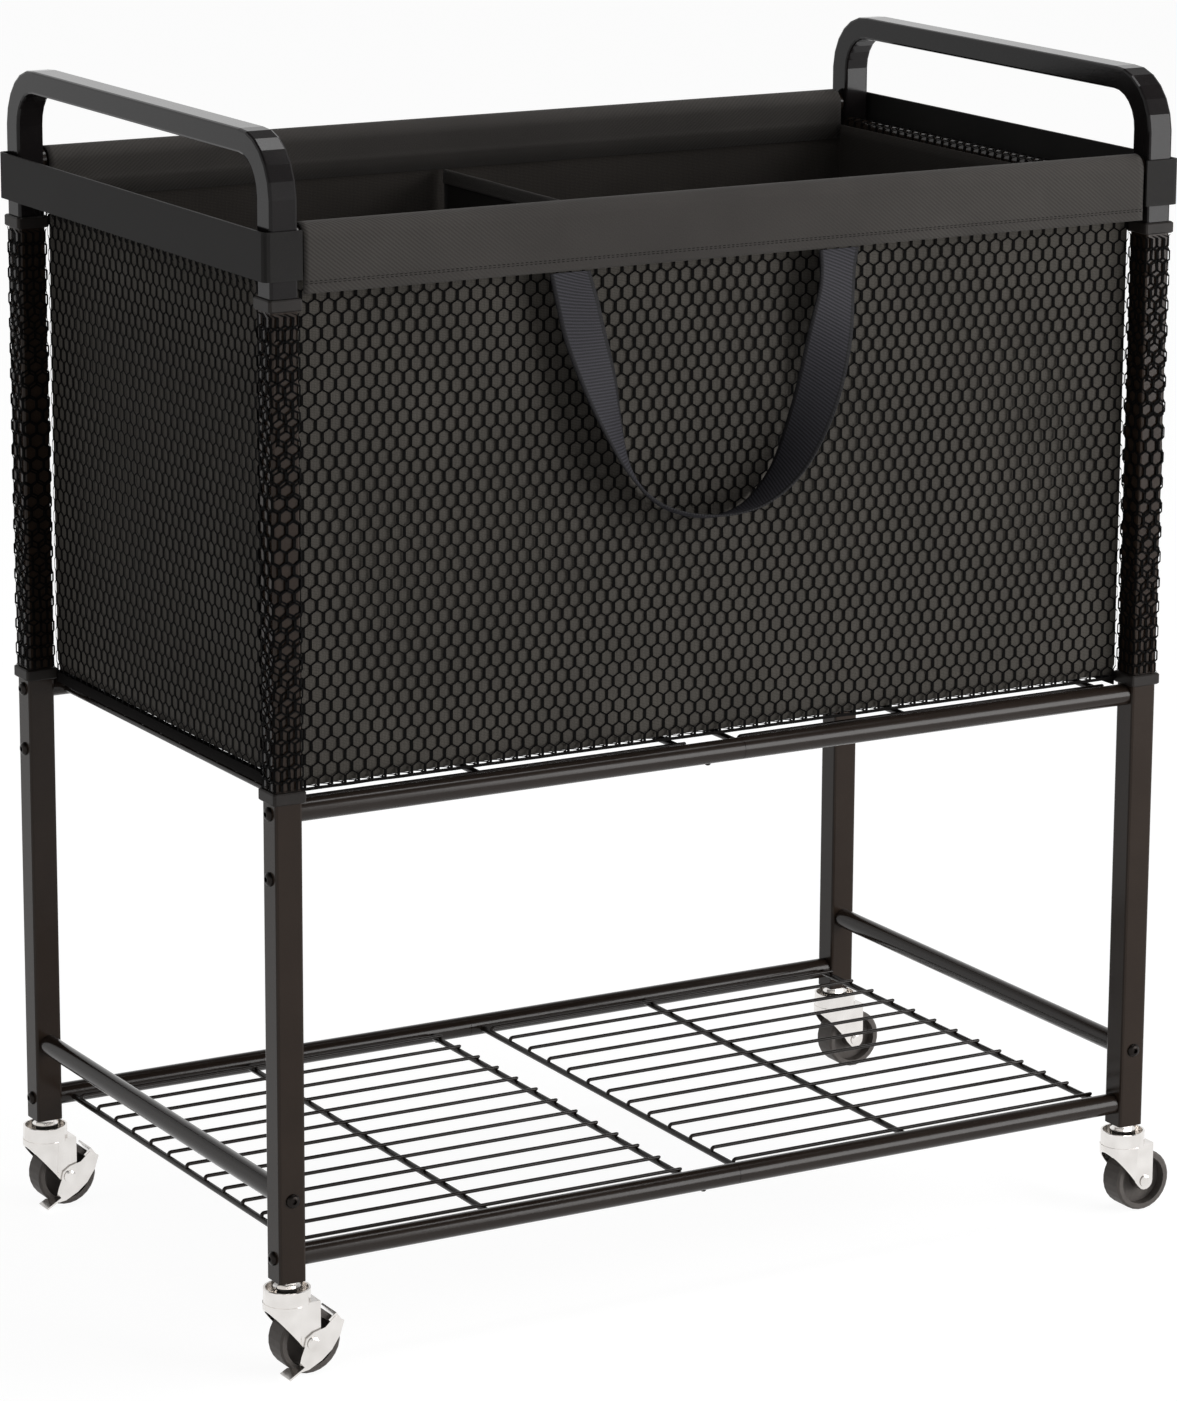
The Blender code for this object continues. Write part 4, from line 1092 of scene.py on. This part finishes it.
def binding_place(across, round_edge):
    """A place on the folded strip over the sheet's top edge."""
    top = divider_place(across, divider_tall)
    angle = math.pi * round_edge
    return top + Vector((binding_out * math.cos(angle), 0, binding_over * math.sin(angle)
                         - binding_down * abs(math.cos(angle)) ** 3))


def sheet_mesh(name, rule, wide, high, columns, rows):
    """A grid of quads by a rule, with its flat size as the UV map."""
    flat = [(wide * column / columns, high * row / rows)
            for row in range(rows + 1) for column in range(columns + 1)]
    points = [rule(across, up) for across, up in flat]
    return mesh_of(name, points, grid_faces(rows, columns), flat)


# The divider's dark oxford is painted shade.
divider = add_piece("divider", sheet_mesh("divider", divider_place, 2 * divider_half, divider_tall,
                                          60, 50), painted_shade_divider, smooth=60)
thicken(divider, divider_wall)
binding = add_piece("divider_binding", sheet_mesh("binding", binding_place, 2 * divider_half, 1.0,
                                                  60, 12), hem_cloth, smooth=60)
thicken(binding, binding_wall)
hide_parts("liner_divider")
print("divider:", round(2 * divider_half * 1000), "x", round(divider_tall * 1000), "mm")

# %% [markdown]
# ## The hems
#
# Front and rear, a canvas cuff goes over the top rail. It comes up inside the bag from a crease,
# bends round the rail and hangs down outside as a flap. Its section is one path, drawn along
# the whole side, with slow waves in the flap so that it doesn't look like sheet metal.

# %% Hems
hem_wall = 0.0015
hem_half = (hem_high.x - hem_low.x) / 2
hem_turn = hem_high.z - rail_z - hem_wall / 2
hem_edge = hem_low.z + 0.0006
hem_columns = 150
rail_steps = 24
flap_steps = 18
crease_z = rail_z - 0.0174
wave_depth = 0.04
flap_wave = 0.0011
flap_wave_limit = 0.0006
flap_lift = 0.0006
inner_share = 0.35


def flap_bulge(x, z, hand, below):
    """How far the flap waves outwards, for its height and how far it is below the rail."""
    return min(flap_wave_limit, noise.noise(Vector((x * 8, z * 6, hand * 3.0))) * flap_wave * below)


def hem_section(hand):
    """The path of the cuff from the crease inside to the lower edge outside."""
    y = hand * post_y
    path = [Vector((0, y - hand * (hem_turn - 0.0004), crease_z - 0.012)),
            Vector((0, y - hand * (hem_turn - 0.0012), crease_z - 0.003)),
            Vector((0, y - hand * (hem_turn + 0.0006), crease_z))]
    for step in range(1, 6):
        path.append(Vector((0, y - hand * hem_turn, crease_z + (rail_z - crease_z) * step / 6)))
    for step in range(rail_steps + 1):
        angle = math.pi * step / rail_steps
        path.append(Vector((0, y - hand * hem_turn * math.cos(angle),
                            rail_z + hem_turn * math.sin(angle))))
    for step in range(1, flap_steps + 1):
        path.append(Vector((0, y + hand * hem_turn, rail_z + (hem_edge - rail_z) * step / flap_steps)))
    return path


def hem_mesh(hand):
    """The cuff's mesh and the width of its cloth."""
    path = hem_section(hand)
    ways = [0.0]
    for a, b in zip(path, path[1:]):
        ways.append(ways[-1] + (b - a).length)
    points, flat = [], []
    for column in range(hem_columns + 1):
        x = centre_x - hem_half + 2 * hem_half * column / hem_columns
        for place, way in zip(path, ways):
            outside = 1.0 if (place.y - hand * post_y) * hand > 0 else inner_share
            below = max(0.0, (rail_z - place.z) / wave_depth) * outside
            lift = noise.noise(Vector((x * 6, 5.0, hand * 2.0))) * flap_lift * below
            points.append(Vector((x, place.y + hand * flap_bulge(x, place.z, hand, below),
                                  place.z + lift)))
            flat.append((x, way))
    mesh = mesh_of("hem", points, grid_faces(hem_columns, len(path) - 1), flat)
    if hand > 0:
        mesh.flip_normals()
    return mesh, ways[-1]


hems = {}
for label, hand in (("front", -1), ("rear", 1)):
    mesh, hem_way = hem_mesh(hand)
    hems[label] = add_piece("hem_cuff_" + label, mesh, hem_cloth, smooth=60)
    thicken(hems[label], hem_wall)
    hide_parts("hem_" + label)
print("the cuff's cloth is", round(hem_way * 1000), "mm wide before it is folded")

# %% [markdown]
# ## Stitches
#
# Two rows of lock stitch hold the flap, eight millimetres above its edge. A stitch is about three
# millimetres of thread that dips into the cloth at both ends. Geometry Nodes put one small
# capsule at each step of a row, which keeps each stitch to a few faces.

# %% Stitch tree and rows
stitch_tree, stitch_in = start_tree("stitch_row", {
    "Length": "NodeSocketFloat",
    "Spacing": "NodeSocketFloat",
    "Thread": "NodeSocketFloat",
    "Material": "NodeSocketMaterial",
})
stitch_points = add_node(stitch_tree, "GeometryNodeCurveToPoints", {
    "Curve": add_node(stitch_tree, "GeometryNodeCurvePrimitiveLine", {
        "Start": (0.0, 0.0, 0.0),
        "End": add_node(stitch_tree, "ShaderNodeCombineXYZ", {
            "X": stitch_in["Length"]}).outputs[0],
    }).outputs[0],
    "Length": stitch_in["Spacing"],
}, mode="LENGTH")
capsule = add_node(stitch_tree, "GeometryNodeMeshUVSphere", {
    "Segments": 6, "Rings": 4, "Radius": stitch_in["Thread"]})
stretch = add_node(stitch_tree, "GeometryNodeTransform", {
    "Geometry": capsule.outputs["Mesh"], "Rotation": (0, math.pi / 2, 0), "Scale": (0.9, 0.9, 4.4)})
stitches = add_node(stitch_tree, "GeometryNodeInstanceOnPoints", {
    "Points": stitch_points.outputs["Points"], "Instance": stretch.outputs[0]})
finish_tree(stitch_tree, stitch_in, stitches.outputs[0])


stitch_spacing = 0.0038
stitch_radius = 0.00032
stitch_inset = 0.002
stitch_rows_up = (0.0078, 0.0094)
for label, hand in (("front", -1), ("rear", 1)):
    rows = []
    for above in stitch_rows_up:
        row = grown("row", stitch_tree, {
            "Length": 2 * (hem_half - stitch_inset), "Spacing": stitch_spacing,
            "Thread": stitch_radius, "Material": stitch_thread})
        z = hem_low.z + above
        below = (rail_z - z) / wave_depth
        for vertex in row.vertices:
            x = centre_x - hem_half + stitch_inset + vertex.co.x
            out = hem_turn + hem_wall / 2 + flap_bulge(x, z, hand, below) + vertex.co.y
            vertex.co = (x, hand * (post_y + out), z + vertex.co.z)
        rows.append(row)
    seam = add_piece("hem_stitches_" + label, joined_mesh("stitches", rows), stitch_thread,
                     smooth=180)
print("faces in a seam:", len(seam.data.polygons))

# %% [markdown]
# ## The carry straps
#
# A webbing strap hangs from two places under each hem. Its arms leave the hem flat to the front,
# and towards the bottom it turns on edge, because it is sewn on flat and bent into a loop in its
# own plane. It doesn't hang even: one arm is straighter and the other bows out. So its middle line
# goes through a few measured places with a twist at each, and the band is drawn across that line.
# Just under the hem the band is level, as it is sewn on there.

# %% Straps
strap_low, strap_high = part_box("strap_front")
strap_wide = 0.035
strap_wall = 0.0015
level_within = 0.03
strap_plane = -(strap_low.y + strap_high.y) / 2
strap_gap = 0.0004
strap_top = hem_low.z - strap_gap
strap_steps = 280
strap_ribs = 12
# The middle of the front strap, across from the posts' middle and down from its top, and the twist
# there in degrees: its flat side turns from the front towards the inside of the loop.
strap_line = [
    (-0.1465, 0.0000, 0), (-0.1400, 0.0240, 0), (-0.1335, 0.0480, 3), (-0.1210, 0.0840, 18),
    (-0.1095, 0.1170, 40), (-0.0970, 0.1470, 60), (-0.0800, 0.1710, 78), (-0.0540, 0.1870, 94),
    (-0.0210, 0.1945, 103), (0.0070, 0.1910, 101), (0.0265, 0.1800, 92), (0.0440, 0.1620, 79),
    (0.0580, 0.1360, 61), (0.0695, 0.1060, 42), (0.0780, 0.0700, 20), (0.0835, 0.0350, -6),
    (0.0850, 0.0140, -9), (0.0855, 0.0000, 0),
]


def strap_station(share, hand):
    """The middle of the strap and the way across it, by the share of the places passed."""
    spans = len(strap_line) - 1
    span = min(int(share * spans), spans - 1)
    t = share * spans - span
    near = [strap_line[min(max(span + i, 0), spans)] for i in (-1, 0, 1, 2)]
    value, slope = [], []
    for a, b, c, d in zip(*near):
        value.append(0.5 * (2 * b + (c - a) * t + (2 * a - 5 * b + 4 * c - d) * t * t
                            + (3 * b - a - 3 * c + d) * t ** 3))
        slope.append(0.5 * ((c - a) + 2 * (2 * a - 5 * b + 4 * c - d) * t
                            + 3 * (3 * b - a - 3 * c + d) * t * t))
    along = Vector((slope[0], 0, -slope[1])).normalized()
    twist = math.radians(value[2])
    inwards = Vector((0, -1, 0)).cross(along)
    across = inwards * math.cos(twist) - Vector((0, hand, 0)) * math.sin(twist)
    across.z *= min(1.0, value[1] / level_within)
    middle = Vector((centre_x + value[0], hand * strap_plane, strap_top - value[1]))
    return middle, across


def strap_mesh(hand):
    """The band across its middle line, and the length of that line."""
    points, flat = [], []
    way = 0.0
    before = None
    for step in range(strap_steps + 1):
        middle, across = strap_station(step / strap_steps, hand)
        way += (middle - before).length if before is not None else 0.0
        before = middle
        for rib in range(strap_ribs + 1):
            place = strap_wide * (rib / strap_ribs - 0.5)
            points.append(middle + across * place)
            flat.append((place, way))
    return mesh_of("strap", points, grid_faces(strap_steps, strap_ribs), flat), way


for label, hand in (("front", -1), ("rear", 1)):
    mesh, strap_way = strap_mesh(hand)
    strap = add_piece("carry_strap_" + label, mesh, strap_cloth, None, smooth=60)
    thicken(strap, strap_wall)
    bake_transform(strap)
    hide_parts("strap_" + label)
print("a strap is", round(strap_way * 1000), "mm long")

# %% [markdown]
# ## Bolts in the posts
#
# Button-head bolts hold the racks, the rails and the casters to the posts. A button head is a low
# dome with a six-sided socket. One head is made, and Geometry Nodes place it at every hole. The
# small screws under the racks are the same head at less than half the size.

# %% Bolt head and its places
bolt_radius = 0.0054
bolt_sides = 18
socket_radius = 0.0022
socket_floor = 0.0013
dome = ((1.0, 0.0), (1.0, 0.0008), (0.93, 0.0016), (0.75, 0.0026), (0.52, 0.0031))


def bolt_head():
    """A low dome with a hexagon socket, on the plane z = 0, its top towards +Z."""
    work = bmesh.new()

    def circle(radius, z, count):
        return [work.verts.new((radius * math.cos(math.tau * i / count),
                                radius * math.sin(math.tau * i / count), z)) for i in range(count)]

    rings = [circle(bolt_radius * share, z, bolt_sides) for share, z in dome]
    mouth, bottom = (circle(socket_radius, z, 6) for z in (dome[-1][1], socket_floor))
    for low, high in [*zip(rings, rings[1:]), (mouth, bottom)]:
        count = len(low)
        for i in range(count):
            after = (i + 1) % count
            work.faces.new((low[i], low[after], high[after], high[i]))
    top = rings[-1]
    for i in range(6):
        work.faces.new((top[3 * i], top[3 * i + 1], top[3 * i + 2], top[(3 * i + 3) % bolt_sides],
                        mouth[(i + 1) % 6], mouth[i]))
    work.faces.new(bottom)
    work.faces.new(rings[0][::-1])
    mesh = bpy.data.meshes.new("bolt_head")
    work.to_mesh(mesh)
    work.free()
    return faced_out(mesh)


def heads_at(places):
    """A mesh of loose points, one for each head, with the way that it faces."""
    mesh = bpy.data.meshes.new("bolt_places")
    mesh.from_pydata([p for p, _ in places], [], [])
    facing = mesh.attributes.new("facing", "FLOAT_VECTOR", "POINT")
    for index, (_, way) in enumerate(places):
        facing.data[index].vector = way
    return mesh


bolt_tree, bolt_in = start_tree("bolt_heads", {
    "Head": "NodeSocketObject", "Material": "NodeSocketMaterial"})
facing = add_node(bolt_tree, "GeometryNodeInputNamedAttribute", {"Name": "facing"},
                  data_type="FLOAT_VECTOR")
turn = add_node(bolt_tree, "FunctionNodeAlignRotationToVector", {
    "Vector": facing.outputs["Attribute"]}, axis="Z")
one_head = add_node(bolt_tree, "GeometryNodeObjectInfo", {"Object": bolt_in["Head"]})
heads = add_node(bolt_tree, "GeometryNodeInstanceOnPoints", {
    "Points": bolt_in["Geometry"],
    "Instance": one_head.outputs["Geometry"],
    "Rotation": turn.outputs[0],
})
finish_tree(bolt_tree, bolt_in, heads.outputs[0])

# %% [markdown]
# ## Where the bolts go
#
# Each post has three bolts on its outer side, for the racks and the end band, and one on its front
# or rear side. Under the seam of each rack, two smaller screws hold its halves together.

# %% Put the bolts and screws in
leg_low, leg_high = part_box("lower_leg_front_left")
post_half = (leg_high.x - leg_low.x) / 2
end_bolts_up = (0.4324, 0.3833, 0.0914)
side_bolt_up = 0.1377
screw_from_seam = 0.029
screw_scale = 0.42
bolt_places = []
for hand_x in (-1, 1):
    for hand_y in (-1, 1):
        x, y = centre_x + hand_x * post_reach, hand_y * post_y
        for z in end_bolts_up:
            bolt_places.append((Vector((x + hand_x * post_half, y, z)), Vector((hand_x, 0, 0))))
        bolt_places.append((Vector((x, y + hand_y * post_half, side_bolt_up)), Vector((0, hand_y, 0))))
screw_places = [(Vector((seam_x - screw_from_seam, hand_y * post_y, rail_middle[level] - rail_radius)),
                 Vector((0, 0, -1))) for hand_y in (-1, 1) for level in ("lower", "upper")]
head = bpy.data.objects.new("bolt_head", bolt_head())
small_head = bpy.data.objects.new("screw_head", bolt_head())
small_head.data.transform(Matrix.Scale(screw_scale, 4))
bolts = grown("bolts", bolt_tree, {"Head": head, "Material": black_oxide}, heads_at(bolt_places))
screws = grown("screws", bolt_tree, {"Head": small_head, "Material": black_oxide},
               heads_at(screw_places))
add_piece("frame_bolts", joined_mesh("bolts", [bolts, screws]), black_oxide,
          smooth=35)
print("bolt heads:", len(bolt_places), "and", len(screw_places), "small screws")

# %% [markdown]
# ## The white floor
#
# The photograph has a plain white ground. The floor shows white to the camera and to mirrors, and
# keeps a soft shadow under the wheels. What a ray is for decides this: the camera's and the mirrors'
# rays see bright paint, and the light's own rays see a plain pale floor.

# %% Floor
def in_sight(tree):
    """1 for light that the camera sees, straight, mirrored or through glass, and 0 for the rest."""
    path = add_node(tree, "ShaderNodeLightPath")
    seen = add_node(tree, "ShaderNodeMath", {
        0: path.outputs["Is Camera Ray"], 1: path.outputs["Is Glossy Ray"]}, operation="MAXIMUM")
    return add_node(tree, "ShaderNodeMath", {
        0: seen.outputs[0], 1: path.outputs["Is Transmission Ray"]}, operation="MAXIMUM").outputs[0]


floor_half = 60
ground_z = -0.0005
floor_mesh = mesh_of("floor", [(x * floor_half, y * floor_half, ground_z)
                               for x, y in ((-1, -1), (1, -1), (1, 1), (-1, 1))], [(0, 1, 2, 3)])
floor = put_in_scene("floor", floor_mesh)
floor_paint = bpy.data.materials.new("white_ground")
floor_paint.use_nodes = True
tree = floor_paint.node_tree
tree.nodes.clear()
diffuse = add_node(tree, "ShaderNodeBsdfDiffuse", {"Color": (0.85, 0.85, 0.85, 1)})
white = add_node(tree, "ShaderNodeEmission", {"Color": (1, 1, 1, 1), "Strength": 1.16})
both = add_node(tree, "ShaderNodeMixShader", {0: 0.80, 1: diffuse.outputs[0], 2: white.outputs[0]})
ground = add_node(tree, "ShaderNodeMixShader", {
    0: in_sight(tree), 1: diffuse.outputs[0], 2: both.outputs[0]})
add_node(tree, "ShaderNodeOutputMaterial", {0: ground.outputs[0]})
floor_mesh.materials.append(floor_paint)
print("floor:", 2 * floor_half, "m wide")

# %% [markdown]
# ## Sky and lamps
#
# The sky is white too, but dim for the light that it sheds, and mirrors see it darker overhead, as
# in a room with a dark ceiling. A large soft lamp stands in front on the right, a weak one on the
# left, and one hangs above.

# %% World and lamps
world = bpy.data.worlds.new("studio")
bpy.context.scene.world = world
world.use_nodes = True
tree = world.node_tree
tree.nodes.clear()
look = add_node(tree, "ShaderNodeSeparateXYZ", {
    "Vector": add_node(tree, "ShaderNodeTexCoord").outputs["Generated"]})
mirrored = add_node(tree, "ShaderNodeMapRange", {
    "Value": look.outputs["Z"], "From Min": 0.35, "From Max": 0.75, "To Min": 1.0, "To Max": 0.12})
shown = add_node(tree, "ShaderNodeMapRange", {
    "Value": add_node(tree, "ShaderNodeLightPath").outputs["Is Camera Ray"],
    "To Min": mirrored.outputs["Result"], "To Max": 1.0})
strength = add_node(tree, "ShaderNodeMapRange", {
    "Value": in_sight(tree), "To Min": 0.24, "To Max": shown.outputs["Result"]})
sky = add_node(tree, "ShaderNodeBackground", {
    "Color": (1, 1, 1, 1), "Strength": strength.outputs["Result"]})
add_node(tree, "ShaderNodeOutputWorld", {0: sky.outputs[0]})


def add_lamp(name, size, power, place, target):
    """A square soft lamp that faces a point."""
    light = bpy.data.lights.new(name, "AREA")
    light.shape = "SQUARE"
    light.size = size
    light.energy = power
    lamp = put_in_scene(name, light)
    way = Vector(target) - Vector(place)
    lamp.matrix_world = Matrix.Translation(place) @ way.to_track_quat("-Z", "Y").to_matrix().to_4x4()


add_lamp("key", 2.4, 108, (2.5, -2.9, 1.1), (0, 0, 0.45))
add_lamp("fill", 1.8, 3.5, (-3.2, -0.8, 0.9), (0, 0, 0.45))
add_lamp("top", 1.3, 30, (0.9, -0.2, 3.2), (-0.2, 0, 0.6))

# %% [markdown]
# ## Camera
#
# The camera stands at the left of the front, a little above the handles, and looks slightly down.
# Its turn, tilt and distance were found by fitting the frame's edges to the photograph.

# %% Camera
turn_deg, tilt_deg, roll_deg = -29.880185, 13.914282, 0.280644
distance = 4.267543
aim = Vector((-0.0079, 0.0, 0.4233967))
turn, tilt, roll = map(math.radians, (turn_deg, tilt_deg, roll_deg))
back = Vector((math.sin(turn) * math.cos(tilt), -math.cos(turn) * math.cos(tilt), math.sin(tilt)))
right = Vector((math.cos(turn), math.sin(turn), 0))
up = back.cross(right)
side = right * math.cos(roll) + up * math.sin(roll)
top = up * math.cos(roll) - right * math.sin(roll)
place = aim + back * distance
lens = bpy.data.cameras.new("camera")
lens.lens = 137.79
lens.sensor_width = 36
lens.clip_end = 200
camera = put_in_scene("camera", lens)
camera.matrix_world = Matrix((
    (side.x, top.x, back.x, place.x),
    (side.y, top.y, back.y, place.y),
    (side.z, top.z, back.z, place.z),
    (0, 0, 0, 1),
))
bpy.context.scene.camera = camera
bpy.context.scene.view_settings.view_transform = "Standard"
print("camera at", [round(v, 3) for v in place])

# %% [markdown]
# ## Bring the scene up to date
#
# Last, the view layer is updated so that every piece is in place. The dressed hamper may not be
# larger than its frame of solids, apart from a little cloth.

# %% Bring the scene up to date
bpy.context.view_layer.update()
